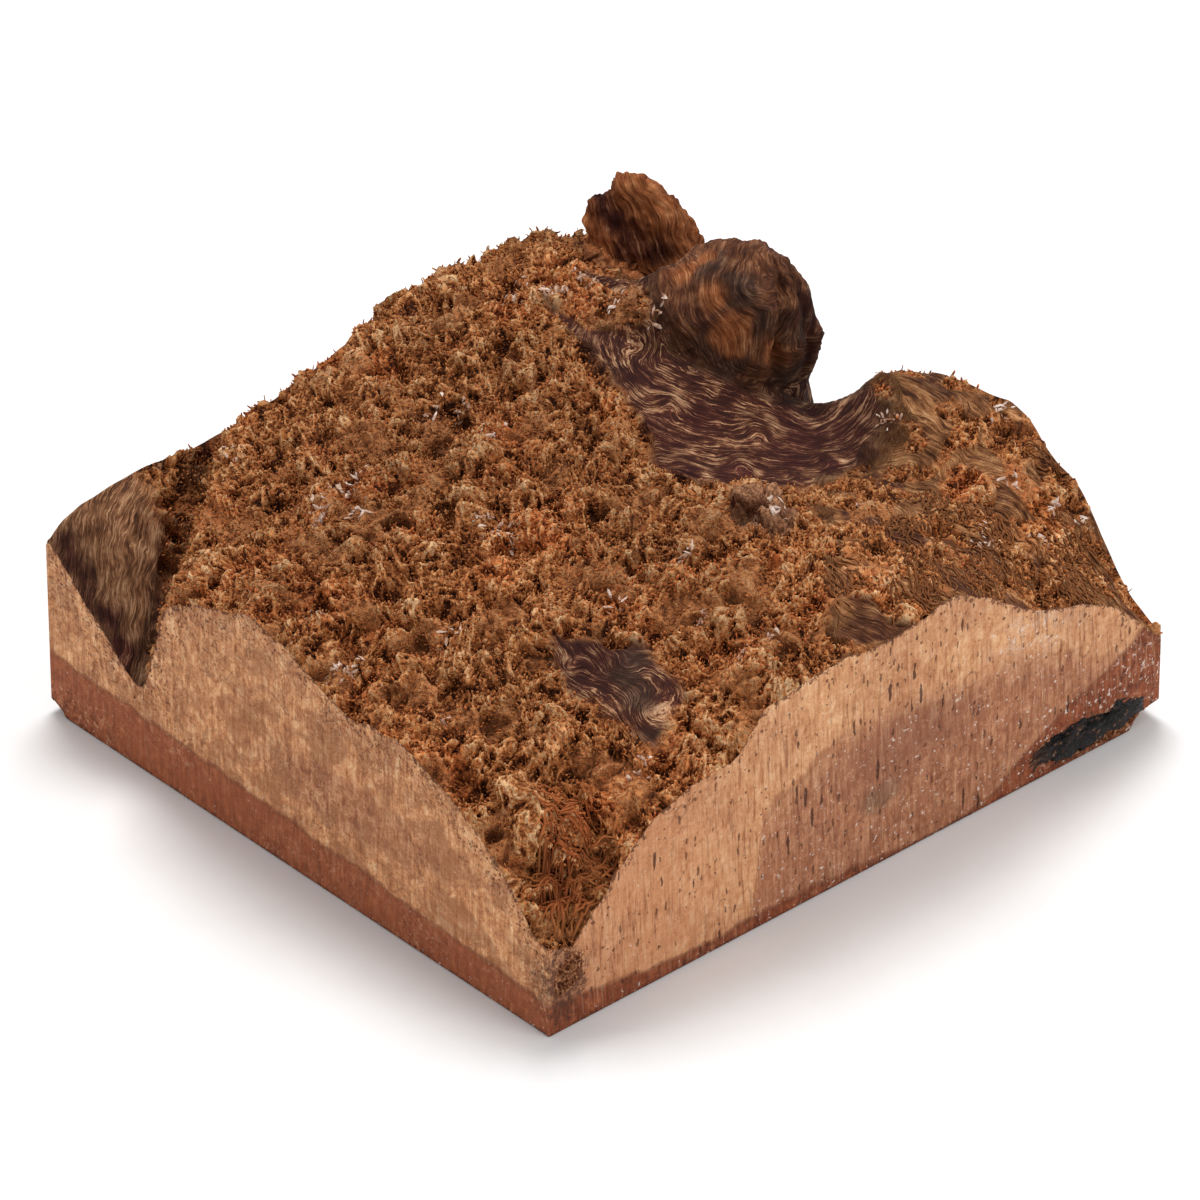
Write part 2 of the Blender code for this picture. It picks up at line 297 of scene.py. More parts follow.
# The cap's skin is made twice as fine.
run = np.subtract(VALLEY_HEAD, VALLEY_FOOT) / np.linalg.norm(np.subtract(VALLEY_HEAD, VALLEY_FOOT))
burl_places, burl_triangles = split_between(burl_places, burl_triangles, cap_points)
burl_edges, _ = edges_of(burl_triangles)
cap_points, free = natural(burl_places, burl_edges)

plan = burl_places[:, :2].copy()
heave = 10 * np.exp(-((from_place(plan, (0, 366)) / 18) ** 2))
heave -= 8 * np.exp(-((from_place(plan, (0, 301)) / 17) ** 2))
burl_places[:, 2] += heave * ramp(burl_places[:, 2], 20, 50)
height = burl_places[:, 2].copy()
flat = np.column_stack([plan, 0 * height])
knob = ramp(48 - from_place(plan, KNOB_PLACE), 0, 8) * ramp(height, 122, 150)
spur = ramp(36 - from_place(plan, SPUR_PLACE), 0, 7) * ramp(height, 120, 142)
drift = wander(flat, 22, 1)
fine_drift = wander(flat, 9, 2)

# How thickly the pins stand: none on the smooth ground, few on the shoulder, none in the valley.
past_valley = (plan - VALLEY_FOOT) @ np.array([run[1], -run[0]])
off_smooth = beyond(SMOOTH_GROUND, plan) + 5 * drift + 3 * fine_drift
off_patch = beyond(SWIRL_PATCH, plan) + 4 * drift + 3 * fine_drift
off_shoulder = beyond(SHOULDER, plan) + 8 * drift + 4 * fine_drift
pins = ramp(off_smooth, -1, 5) * ramp(past_valley + 4 * drift, -3, 5)
pins = np.maximum(pins, ramp(plan[:, 1] + 4 * fine_drift, 338, 350) * ramp(plan[:, 0] + 6 * drift, 52, 66))
pins *= ramp(off_patch, -2, 6)
shoulder = 1 - ramp(off_shoulder, -8, 6)
pockets = np.zeros(len(plan))
for x, y, radius in SHOULDER_EYES:
    pocket = ramp(radius + 5 - from_place(plan, (x, y)) + 7 * fine_drift, 0, 4)
    pockets = np.maximum(pockets, pocket)
tufts = np.maximum(ramp(wander(flat, 17, 3), -0.06, 0.14), pockets)
pins *= 1 - shoulder * (1 - 0.95 * tufts)
pins = np.maximum(pins, 0.8 * ramp(3 * fine_drift - beyond(POROUS_GROUND, plan), 0, 5))
pins *= (1 - knob) * (1 - spur) * cap_points
in_hollow = in_hollows(burl_places)
pins *= ~in_hollow

# The grain runs along lines of equal value: round the knob, down the shoulder, along the valley.
round_knob = np.hypot((plan[:, 0] - 332) * 0.93, (plan[:, 1] - 222) * 1.05)
flow_grain = round_knob + 9 * wander(burl_places, 48, 4) + rings(plan, FLOW_EYES, 1.0)
across_view = 0.743 * plan[:, 0] - 0.669 * plan[:, 1]
knob_grain = across_view + 0.30 * height + 13 * wander(burl_places, 34, 5)
shoulder_grain = plan[:, 0] + 0.25 * plan[:, 1] + 14 * wander(flat, 46, 6)
shoulder_grain += 5 * wander(flat, 17, 25)
shoulder_grain += rings(plan, SHOULDER_EYES, 1.3)
valley_grain = past_valley + 7 * wander(flat, 55, 7)
spur_grain = across_view + 0.45 * height + 6 * wander(burl_places, 26, 8)
patch_grain = plan[:, 0] * 0.8 + 12 * wander(flat, 40, 9) + rings(plan, PATCH_EYES, 1.2)
pin_grain = 0.7 * (plan[:, 0] - plan[:, 1]) + 16 * wander(burl_places, 44, 20)
grain = pin_grain + (flow_grain - pin_grain) * ramp(8 - off_smooth, 0, 8)
grain = grain + (knob_grain - grain) * knob
grain = grain + (spur_grain - grain) * spur
grain = grain + (shoulder_grain - grain) * shoulder
grain = grain + (valley_grain - grain) * ramp(-past_valley, -14, -6)
grain = grain + (patch_grain - grain) * ramp(-off_patch, -14, -4)
grain = grain + 2.4 * wander(burl_places, 13, 10) + 0.7 * wander(burl_places, 5, 26)


def drawn_out(width, length, seed):
    """Noise in ridges along the grain, of this width and length in millimetres."""
    at = np.column_stack([grain / width, plan / length]) + seed * 3.7
    return np.array([noise.noise(Vector(place)) for place in at.tolist()])


# The relief: hummocks and lumps under the pins, curled ridges and pits in them, and low folds
# along the grain where the wood is smooth.
curl = np.array([noise.noise_vector(Vector(at) / 15) for at in burl_places.tolist()])
curled = burl_places + 4.5 * curl
hummock = 2 * np.abs(wander(burl_places, 25, 11)) - 0.45
lump = 2 * np.abs(wander(curled, 11, 12)) - 0.45
crumb = 2 * np.abs(wander(curled, 5.5, 13)) - 0.45
maze = 1 - 5 * np.abs(wander(curled, 3.5, 21))
combed = 1 - 5 * np.abs(drawn_out(2.1, 13, 1))
ridges = maze + (combed - maze) * ramp(wander(flat, 38, 22), -0.1, 0.15)
ridges = np.clip(ridges, -0.8, 1)
pit = ramp(wander(curled, 3.6, 23) - 0.15 * lump, 0.16, 0.38)
dust = ramp(wander(burl_places, 20, 24), 0.14, 0.34)
fold = drawn_out(13, 90, 2)
strand = drawn_out(1.7, 40, 3)
dip = ramp(wander(burl_places + 3 * curl, 14, 40), 0.20, 0.50)
rise = pins * (7.0 * hummock + 3.6 * lump + 1.1 * crumb) * (1 - 0.35 * shoulder)
rise -= pins * 5.5 * dip
rise += pins * (1 - 0.65 * dust) * (1.0 * ridges - 2.3 * pit)
rise += (1 - pins) * (1.0 * fold + 0.8 * wander(burl_places, 17, 14) - 0.5)
fine_strand = drawn_out(1.1, 18, 6)
rise += (1 - pins) * ((shoulder * 1.3 + 0.5) * strand + 0.45 * fine_strand)
fibres = drawn_out(2.3, 40, 4)
rise += spur * (2.6 * fibres + 2.6 * wander(burl_places, 8, 27) + 1.0 * wander(burl_places, 3.5, 30))
knob_lumps = 1.8 * wander(burl_places, 15, 28) + 1.1 * wander(burl_places, 6, 29)
rise += knob * (1.2 * fibres + knob_lumps + 0.5 * wander(burl_places, 2.8, 31))
rise -= grooves(burl_places, CLEFTS + [SPUR_BAND])
rise -= 0.9 * rings(plan, [(x, y, radius * 0.6) for x, y, radius in SHOULDER_EYES], 0.5) * shoulder
# high is painted light and shade for the cap's colour: paler on ridges, lumps and hummock tops, darker in pits and
# dips. Dust softens its ridges and pits.
high = 0.50 + (1 - 0.6 * dust) * (0.24 * ridges - 0.6 * pit) + 0.18 * lump + 0.20 * hummock
high = np.clip(high - 0.30 * dip, 0, 1)
boss_way = from_place(plan, BOSS_PLACE)
boss = ramp(19 + 2.5 * fine_drift - boss_way, 0, 4)
boss_turn = np.arctan2(plan[:, 1] - BOSS_PLACE[1], plan[:, 0] - BOSS_PLACE[0])
petals = np.abs(np.sin(3 * boss_turn + 0.5 + 1.6 * wander(flat, 8, 15)))
lobes = ramp(petals, 0.10, 0.55) * ramp(boss_way, 1, 5)
rise += boss * (5.0 * lobes - 3.2 + 1.2 * crumb)
pins *= 1 - boss
# On the boss, high follows its lobes: painted light on them, painted shade between them.
high = high * (1 - boss) + boss * np.clip(0.12 + 0.5 * lobes + 0.12 * crumb, 0, 1)
rise[in_hollow] = (0.8 * crumb + 0.7 * maze)[in_hollow]
sawn_points = sawn_sides(burl_places).any(axis=1)
on_rim = cap_points & sawn_points
rise += 3 * pins * ramp(plan[:, 1], WIDTH - 26, WIDTH - 8)
far_rim = plan[on_rim, 1] > WIDTH - 1
rise[on_rim] = np.clip(rise[on_rim], np.where(far_rim, -6, -0.6), np.where(far_rim, 8, 2.2))
burl_places += outward(burl_places, burl_triangles) * free * rise[:, None]
inside = np.clip(burl_places[:, :2], 0.2, [LENGTH - 0.2, WIDTH - 0.2])
burl_places[~sawn_points, :2] = inside[~sawn_points]
burl_places[:, 2] = np.maximum(burl_places[:, 2], 0)

warp = [wander(burl_places, 14, seed) for seed in (17, 18, 19)]
warped = burl_places + 5 * np.column_stack(warp)
streaky = 0.8 * ramp(wander(burl_places, 26, 16), 0.18, 0.32) * ramp(past_valley, -6, 2)
streaky = np.maximum(streaky, grooves(warped, MAROON_STREAKS + [(SPUR_BAND[0], 1.0, 7.0)]))

# How far each point of a sawn side lies from the edge of the cap.
rim = np.flatnonzero(on_rim)
rim_tree = KDTree(len(rim))
for number in rim.tolist():
    rim_tree.insert(burl_places[number], number)
rim_tree.balance()
from_rim = np.zeros(len(burl_places))
for number in np.flatnonzero(sawn_points).tolist():
    from_rim[number] = rim_tree.find(burl_places[number])[2]

on_the_wood = {
    "pins": pins,
    "grain": grain,
    "high": high,
    "dust": dust,
    "maroon": np.maximum(spots(warped, MAROON_SPOTS), streaky),
    "sooty": spots(warped, SOOTY_SPOTS),
    "furry": spots(warped, FURRY_SPOTS),
    "shoulder": shoulder,
    "knob": knob,
    "spur": spur,
    "boss": boss,
    "cleft": np.clip(grooves(burl_places, CLEFTS) / 3, 0, 1),
    "hollow": in_hollow,
    "planting": np.where(pins > 0.3, pins, 0) * (1 - 0.55 * dust),
    "from_rim": from_rim,
    "valley": ramp(2 - past_valley, 0, 8),
}


def new_mesh(name, places, triangles, smooth):
    """A mesh of triangles, with its places given in millimetres from the near corner."""
    made = bpy.data.meshes.new(name)
    made.vertices.add(len(places))
    made.vertices.foreach_set("co", ((places - [LENGTH / 2, WIDTH / 2, 0]) * MM).ravel())
    made.loops.add(triangles.size)
    made.loops.foreach_set("vertex_index", triangles.ravel())
    made.polygons.add(len(triangles))
    made.polygons.foreach_set("loop_start", np.arange(0, triangles.size, 3))
    made.polygons.foreach_set("use_smooth", smooth)
    made.update()
    return made


def set_attribute(mesh, name, values):
    """Keeps one number for each point of the mesh, for the materials and the pins to read."""
    kept = mesh.attributes.new(name, "FLOAT", "POINT")
    kept.data.foreach_set("value", np.asarray(values, np.float32))


def as_piece(name, mesh):
    """An object of the mesh, at the origin, in the scene."""
    made = bpy.data.objects.new(name, mesh)
    bpy.context.scene.collection.objects.link(made)
    return made


def closed_strip(name, triangles, sawn, cuts):
    """One piece of the wood, closed by a wall along its cuts, where it joins the next piece."""
    sides = np.concatenate([triangles[:, [0, 1]], triangles[:, [1, 2]], triangles[:, [2, 0]]])
    ways = sides[:, 0] * len(burl_places) + sides[:, 1]
    back_ways = sides[:, 1] * len(burl_places) + sides[:, 0]
    open_sides = sides[~np.isin(ways, back_ways)]
    middle = burl_places[open_sides].mean(axis=1)
    used, joined = np.unique(triangles, return_inverse=True)
    skin = [joined.reshape(-1, 3)]
    places = [burl_places[used]]
    made = len(used)
    for cut in cuts:
        gaps = [np.abs(middle[:, axis] - value) for axis, value in cut]
        wall = open_sides[np.min(gaps, axis=0) < 12]
        ring = np.unique(wall)
        inner = burl_places[ring].copy()
        nearest = np.argmin([np.abs(inner[:, axis] - value) for axis, value in cut], axis=0)
        for turn, (axis, value) in enumerate(cut):
            inner[nearest == turn, axis] = value
        inner[:, :2] = np.clip(inner[:, :2], 5, [LENGTH - 5, WIDTH - 5])
        inner[:, 2] = np.where(inner[:, 2] > 20, 22 + 0.02 * inner[:, 2], 18)
        start, end = np.searchsorted(used, wall).T
        deep_start, deep_end = made + np.searchsorted(ring, wall).T
        heart = np.full(len(wall), made + len(ring))
        skin.append(np.stack([end, start, deep_start], axis=1))
        skin.append(np.stack([end, deep_start, deep_end], axis=1))
        skin.append(np.stack([deep_end, deep_start, heart], axis=1))
        places += [inner, inner.mean(axis=0)[None, :]]
        made += len(ring) + 1
    skin = np.concatenate(skin)
    hidden = np.ones(len(skin), bool)
    hidden[: len(triangles)] = sawn
    mesh = new_mesh(name, np.concatenate(places), skin, ~hidden)
    mesh.polygons.foreach_set("material_index", hidden.astype(np.int32))
    for title, values in on_the_wood.items():
        set_attribute(mesh, title, np.append(values[used], np.zeros(made - len(used))))
    return mesh


low = np.stack([burl_places[:, 0] < 0.01, burl_places[:, 1] < 0.01, burl_places[:, 2] < 0.01])
tall = np.stack([burl_places[:, 0] > LENGTH - 0.01, burl_places[:, 1] > WIDTH - 0.01])
sawn = np.concatenate([low, tall])[:, burl_triangles].all(axis=2).any(axis=0)
centres = burl_places[burl_triangles].mean(axis=1)
piece_of = np.searchsorted(STRIP_CUTS, centres[:, 0])
in_last = piece_of == len(STRIP_CUTS)
piece_of[in_last] += np.searchsorted(CROSS_CUTS, centres[in_last, 1])
first, second, third = [(0, value) for value in STRIP_CUTS]
front, back = [(1, value) for value in CROSS_CUTS]
walls = [
    [[first]], [[first], [second]], [[second], [third]], [[third, front]], [[third, front, back]],
    [[third, back]],
]
strips = []
for number, cuts in enumerate(walls):
    within = piece_of == number
    strip = closed_strip(f"wood_{number + 1}", burl_triangles[within], sawn[within], cuts)
    strips.append(strip)


def tone(red, green, blue):
    """A colour as it is seen on a screen, 0 to 255, as the shader takes it."""
    parts = [part / 255 for part in (red, green, blue)]
    return tuple(p / 12.92 if p < 0.04045 else ((p + 0.055) / 1.055) ** 2.4 for p in parts) + (1,)


def put(tree, kind, inputs=None, **settings):
    """Adds a node. inputs gives each input, by name or number, a value or another's output."""
    made = tree.nodes.new(kind)
    for name, value in settings.items():
        setattr(made, name, value)
    for name, value in (inputs or {}).items():
        if isinstance(value, bpy.types.NodeSocket):
            tree.links.new(value, made.inputs[name])
        else:
            made.inputs[name].default_value = value
    return made


def maths(tree, operation, *values, clamp=False):
    """A sum of one or two numbers or outputs."""
    inputs = dict(enumerate(values))
    return put(tree, "ShaderNodeMath", inputs, operation=operation, use_clamp=clamp).outputs[0]


def between(tree, value, low, high, to_low=0.0, to_high=1.0):
    """The value turned smoothly from low..high into to_low..to_high."""
    inputs = {0: value, 1: low, 2: high, 3: to_low, 4: to_high}
    kind = "ShaderNodeMapRange"
    return put(tree, kind, inputs, interpolation_type="SMOOTHSTEP").outputs[0]


def coat(tree, share, under, over):
    """One colour over another, by share."""
    inputs = {0: share, 6: under, 7: over}
    return put(tree, "ShaderNodeMix", inputs, data_type="RGBA").outputs[2]


def stops(tree, value, colours):
    """A colour for the value, along a row of (position, colour)."""
    made = put(tree, "ShaderNodeValToRGB", {0: value})
    row = made.color_ramp.elements
    while len(row) < len(colours):
        row.new(0.5)
    for element, (position, colour) in zip(row, colours):
        element.position = position
    for element, (position, colour) in zip(row, colours):
        element.color = colour
    return made.outputs[0]


def cloud(tree, vector, scale, detail=2.0, roughness=0.5, distortion=0.0):
    """Noise from 0 to 1 over the vector."""
    inputs = {"Vector": vector, "Scale": scale, "Detail": detail, "Roughness": roughness}
    inputs["Distortion"] = distortion
    return put(tree, "ShaderNodeTexNoise", inputs).outputs[0]


def attribute(tree, name):
    """The number that the mesh keeps under this name."""
    return put(tree, "ShaderNodeAttribute", attribute_name=name).outputs["Fac"]


def new_material(name, roughness, specular):
    """A material, its tree and its shader."""
    made = bpy.data.materials.new(name)
    made.use_nodes = True
    shader = made.node_tree.nodes["Principled BSDF"]
    shader.inputs["Roughness"].default_value = roughness
    shader.inputs["Specular IOR Level"].default_value = specular
    return made, made.node_tree, shader


# The cap's colours: tan strands on maroon where it is smooth, brown and crumbly under the pins.
cap, tree, shader = new_material("cap_wood", 0.82, 0.14)
where = put(tree, "ShaderNodeTexCoord").outputs["Object"]
spot = put(tree, "ShaderNodeSeparateXYZ", {0: where}).outputs
waver = maths(tree, "SUBTRACT", cloud(tree, where, 140.0, 3.0, 0.6), 0.5)
lines = maths(tree, "MULTIPLY_ADD", waver, 2.6, attribute(tree, "grain"))


def strands(width, length, seed):
    """Noise drawn out along the grain, in strands of this width and length in millimetres."""
    slow = [maths(tree, "MULTIPLY_ADD", part, 1 / MM / length, seed) for part in (spot[0], spot[1], spot[2])]
    across = maths(tree, "DIVIDE", lines, width)
    downward = maths(tree, "ADD", slow[1], slow[2])
    inputs = {0: across, 1: slow[0], 2: downward}
    drawn = put(tree, "ShaderNodeCombineXYZ", inputs).outputs[0]
    return cloud(tree, drawn, 1.0, 3.0, 0.65)


thin = strands(0.50, 11.0, 3.0)
broad = strands(2.4, 30.0, 17.0)
clumps = cloud(tree, where, 95.0, 3.0, 0.6)
both = maths(tree, "ADD", maths(tree, "MULTIPLY", thin, 0.62), maths(tree, "MULTIPLY", broad, 0.38))
both = maths(tree, "MULTIPLY_ADD", clumps, 0.34, both)
both = maths(tree, "SUBTRACT", both, 0.17)
smooth_tone = stops(tree, both, [
    (0.38, tone(46, 22, 18)), (0.50, tone(74, 37, 28)), (0.54, tone(106, 62, 42)),
    (0.57, tone(168, 120, 86)), (0.65, tone(214, 172, 134)),
])
red_tone = stops(tree, both, [
    (0.42, tone(48, 20, 18)), (0.54, tone(72, 33, 27)), (0.60, tone(108, 62, 46)),
    (0.68, tone(184, 138, 104)),
])
olive_tone = stops(tree, both, [
    (0.36, tone(60, 33, 18)), (0.45, tone(102, 62, 36)), (0.52, tone(144, 95, 58)),
    (0.59, tone(176, 125, 82)), (0.68, tone(208, 166, 120)),
])
knob_tone = stops(tree, both, [
    (0.36, tone(56, 29, 19)), (0.46, tone(90, 52, 34)), (0.54, tone(120, 74, 48)),
    (0.61, tone(158, 107, 74)), (0.70, tone(206, 160, 128)),
])
soot_tone = stops(tree, both, [
    (0.36, tone(48, 29, 22)), (0.52, tone(74, 49, 38)), (0.66, tone(130, 96, 76)),
])
fur_tone = stops(tree, both, [
    (0.36, tone(92, 46, 24)), (0.46, tone(138, 77, 42)), (0.55, tone(172, 103, 60)),
    (0.66, tone(208, 148, 102)),
])
bend = put(tree, "ShaderNodeTexNoise", {"Vector": where, "Scale": 90.0}).outputs["Color"]
bent = put(tree, "ShaderNodeVectorMath", {0: bend, 1: (0.01, 0.01, 0.01), 2: where}, operation="MULTIPLY_ADD")
crumble = cloud(tree, bent.outputs[0], 620.0, 3.0, 0.6)
sponge = put(tree, "ShaderNodeTexVoronoi", {"Vector": bent.outputs[0], "Scale": 480.0}).outputs["Distance"]
sponge = between(tree, sponge, 0.12, 0.58)
fibre = maths(tree, "ADD", maths(tree, "MULTIPLY", crumble, 0.5), maths(tree, "MULTIPLY", thin, 0.5))
# The high number brings painted light and shade into the pins' ground: paler on ridges and tops, darker in pits and
# dips.
peak = maths(tree, "MULTIPLY_ADD", fibre, 0.8, attribute(tree, "high"))
vein = cloud(tree, bent.outputs[0], 330.0, 1.0, 0.5)
vein = between(tree, maths(tree, "ABSOLUTE", maths(tree, "SUBTRACT", vein, 0.5)), 0.055, 0.0)
peak = maths(tree, "MULTIPLY_ADD", sponge, 0.26, peak)
peak = maths(tree, "MULTIPLY_ADD", vein, 0.26, peak)
peak = maths(tree, "SUBTRACT", peak, 0.62)
pin_tone = stops(tree, peak, [
    (0.02, tone(50, 22, 9)), (0.25, tone(118, 63, 29)), (0.45, tone(168, 100, 53)),
    (0.65, tone(200, 135, 82)), (0.90, tone(228, 182, 134)),
])
rusty_tone = stops(tree, peak, [
    (0.02, tone(62, 25, 9)), (0.25, tone(142, 70, 31)), (0.45, tone(190, 106, 55)),
    (0.65, tone(212, 138, 82)), (0.90, tone(230, 184, 136)),
])
dusty = between(tree, cloud(tree, where, 22.0, 2.0), 0.52, 0.70)
pin_tone = coat(tree, dusty, pin_tone, rusty_tone)
powder = maths(tree, "MULTIPLY", attribute(tree, "dust"), 0.45)
pin_tone = coat(tree, powder, pin_tone, tone(160, 103, 64))
valley_tone = stops(tree, both, [
    (0.36, tone(66, 39, 26)), (0.46, tone(120, 78, 52)), (0.52, tone(160, 110, 75)),
    (0.64, tone(212, 166, 126)),
])
patchy = cloud(tree, where, 17.0, 3.0)
colour = coat(tree, attribute(tree, "shoulder"), smooth_tone, olive_tone)
colour = coat(tree, attribute(tree, "valley"), colour, valley_tone)
colour = coat(tree, attribute(tree, "knob"), colour, knob_tone)
colour = coat(tree, attribute(tree, "spur"), colour, fur_tone)
reddish = maths(tree, "MULTIPLY", attribute(tree, "maroon"), between(tree, patchy, 0.3, 0.6, 0.6, 1.0))
colour = coat(tree, reddish, colour, red_tone)
colour = coat(tree, attribute(tree, "sooty"), colour, soot_tone)
colour = coat(tree, attribute(tree, "furry"), colour, fur_tone)
colour = coat(tree, attribute(tree, "pins"), colour, pin_tone)
boss_tone = stops(tree, peak, [
    (0.02, tone(38, 17, 10)), (0.22, tone(112, 64, 40)), (0.5, tone(186, 134, 98)),
])
weathered = between(tree, maths(tree, "MULTIPLY_ADD", clumps, 0.5, crumble), 0.86, 0.68, 0.0, 0.75)
boss_tone = coat(tree, weathered, boss_tone, tone(98, 58, 40))
colour = coat(tree, attribute(tree, "boss"), colour, boss_tone)
# Painted shade darkens the clefts in the knob and the groove along the valley's edge.
colour = coat(tree, maths(tree, "MULTIPLY", attribute(tree, "cleft"), 0.7), colour, tone(34, 16, 10))
hollow_tone = stops(tree, crumble, [
    (0.38, tone(80, 42, 26)), (0.48, tone(140, 84, 54)), (0.62, tone(200, 142, 102)),
])
colour = coat(tree, attribute(tree, "hollow"), colour, hollow_tone)
shade = between(tree, cloud(tree, where, 9.0, 2.0), 0.3, 0.7, 0.85, 1.16)
# Painted shade: the cap grows darker towards the back, along +Y, and lighter towards the front.
shade = maths(tree, "MULTIPLY", shade, maths(tree, "MULTIPLY_ADD", spot[1], -0.5, 0.99))
shaded = put(tree, "ShaderNodeVectorMath", {0: colour, 3: shade}, operation="SCALE").outputs[0]
tree.links.new(shaded, shader.inputs["Base Color"])
smooth_bump = maths(tree, "ADD", maths(tree, "MULTIPLY", thin, 1.5), maths(tree, "MULTIPLY", broad, 1.5))
pin_bump = maths(tree, "MULTIPLY_ADD", sponge, 0.9, crumble)
pin_bump = maths(tree, "MULTIPLY_ADD", vein, 1.1, pin_bump)
bumps = put(tree, "ShaderNodeMix", {0: attribute(tree, "pins"), 2: smooth_bump, 3: pin_bump}).outputs[0]
bump = put(tree, "ShaderNodeBump", {"Height": bumps, "Distance": 0.0014, "Strength": 0.8})
tree.links.new(bump.outputs[0], shader.inputs["Normal"])

# The sawn wood's colours: pale tan, a mauve stain, dark red heartwood at the foot, saw lines.
sawn_wood, tree, shader = new_material("sawn_wood", 0.78, 0.25)
where = put(tree, "ShaderNodeTexCoord").outputs["Object"]
spot = put(tree, "ShaderNodeSeparateXYZ", {0: where}).outputs
along = maths(tree, "MULTIPLY_ADD", spot[0], 1 / MM / LENGTH, 0.5)
deep = maths(tree, "MULTIPLY_ADD", spot[1], 1 / MM / WIDTH, 0.5)
up = maths(tree, "DIVIDE", spot[2], MM)


def curve(tree, value, points):
    """A smooth curve through (value, result) points, both from 0 to 1."""
    made = put(tree, "ShaderNodeFloatCurve", {1: value})
    line = made.mapping.curves[0].points
    line[0].location = points[0]
    line[1].location = points[-1]
    for point in points[1:-1]:
        line.new(*point)
    made.mapping.update()
    return made.outputs[0]


HEARTWOOD_NEAR = [
    (0, 0.17), (0.1, 0.123), (0.19, 0.082), (0.33, 0.068), (0.39, 0.079), (0.48, 0.044),
    (0.56, 0.02), (0.62, 0), (0.70, 0.03), (0.76, 0.167), (0.86, 0.367), (0.93, 0.481),
    (0.98, 0.596), (1, 0.66),
]
STAIN_ON_WIDE_FACE = [
    (0, 0), (0.31, 0.02), (0.34, 0.60), (0.40, 0.73), (0.48, 0.86), (0.56, 0.89), (0.64, 0.80),
    (0.73, 0.79), (0.83, 0.70), (0.9, 0.54), (1, 0.45),
]
heart_near = maths(tree, "MULTIPLY", curve(tree, along, HEARTWOOD_NEAR), 100.0)
heart_far = 34.0
away = maths(tree, "POWER", deep, 0.8, clamp=True)
heart_gap = maths(tree, "SUBTRACT", heart_far, heart_near)
heart_line = maths(tree, "MULTIPLY_ADD", heart_gap, away, heart_near)
ragged = cloud(tree, where, 60.0, 4.0, 0.6)
ragged = maths(tree, "MULTIPLY_ADD", ragged, 12.0, -6.0)
under_heart = maths(tree, "SUBTRACT", maths(tree, "ADD", heart_line, ragged), up)
heart = between(tree, under_heart, -2.0, 2.0)
wide_face = maths(tree, "LESS_THAN", spot[1], -0.1832)
narrow_face = maths(tree, "LESS_THAN", spot[0], -0.1997)
stain_top = maths(tree, "MULTIPLY", curve(tree, along, STAIN_ON_WIDE_FACE), 100.0)
stain_gap = maths(tree, "SUBTRACT", maths(tree, "MULTIPLY_ADD", ragged, 1.3, stain_top), up)
stain = maths(tree, "MULTIPLY", between(tree, stain_gap, -13.0, 16.0), wide_face)
smeared = maths(tree, "MULTIPLY", stain, 0.62)
blotches = between(tree, cloud(tree, where, 14.0, 3.0), 0.42, 0.62)
stain = maths(tree, "MAXIMUM", stain, maths(tree, "MULTIPLY", blotches, 0.35))
streaks = put(tree, "ShaderNodeMapping", {0: where, 3: (60, 60, 9)}).outputs[0]
streaky = cloud(tree, streaks, 6.0, 5.0, 0.65)
mottle = cloud(tree, where, 150.0, 4.0, 0.7, 0.8)
grit = cloud(tree, where, 700.0, 3.0, 0.7)
streaky = maths(tree, "MULTIPLY_ADD", mottle, 0.42, maths(tree, "MULTIPLY", streaky, 0.40))
streaky = maths(tree, "MULTIPLY_ADD", grit, 0.18, streaky)
pale = stops(tree, streaky, [
    (0.34, tone(172, 104, 66)), (0.44, tone(206, 144, 98)), (0.53, tone(226, 168, 122)),
    (0.66, tone(246, 206, 164)),
])
mauve = stops(tree, streaky, [
    (0.34, tone(112, 62, 44)), (0.49, tone(156, 96, 68)), (0.66, tone(204, 142, 106)),
])
dark_red = stops(tree, streaky, [
    (0.34, tone(78, 32, 20)), (0.47, tone(126, 62, 36)), (0.58, tone(160, 88, 54)),
    (0.68, tone(194, 122, 82)),
])
burr = stops(tree, streaky, [
    (0.37, tone(126, 70, 40)), (0.45, tone(186, 120, 77)), (0.52, tone(220, 155, 105)),
    (0.62, tone(250, 206, 160)),
])
colour = coat(tree, maths(tree, "MULTIPLY", stain, 0.85), pale, mauve)
outline = between(tree, maths(tree, "ABSOLUTE", stain_gap), 4.0, 0.5)
outline = maths(tree, "MULTIPLY", maths(tree, "MULTIPLY", outline, wide_face), between(tree, along, 0.5, 0.42))
colour = coat(tree, maths(tree, "MULTIPLY", outline, 0.5), colour, tone(136, 80, 52))
smudge_at = put(tree, "ShaderNodeCombineXYZ", {
    0: maths(tree, "MULTIPLY_ADD", along, 24.0, -12.7), 1: maths(tree, "MULTIPLY_ADD", up, 0.11, -4.3),
}).outputs[0]
smudge = put(tree, "ShaderNodeVectorMath", {0: smudge_at}, operation="LENGTH").outputs[1]
smudge = maths(tree, "MULTIPLY_ADD", ragged, 0.09, smudge)
smudge = maths(tree, "MULTIPLY", between(tree, smudge, 1.3, 0.3, 0.0, 0.55), wide_face)
colour = coat(tree, smudge, colour, tone(98, 82, 64))
dusk_at = put(tree, "ShaderNodeCombineXYZ", {
    0: maths(tree, "MULTIPLY_ADD", along, 8.0, -4.6), 1: maths(tree, "MULTIPLY_ADD", up, 0.045, -2.8),
}).outputs[0]
dusk = put(tree, "ShaderNodeVectorMath", {0: dusk_at}, operation="LENGTH").outputs[1]
dusk = maths(tree, "MULTIPLY_ADD", ragged, 0.09, dusk)
dusk = maths(tree, "MULTIPLY", between(tree, dusk, 1.3, 0.3, 0.0, 0.6), wide_face)
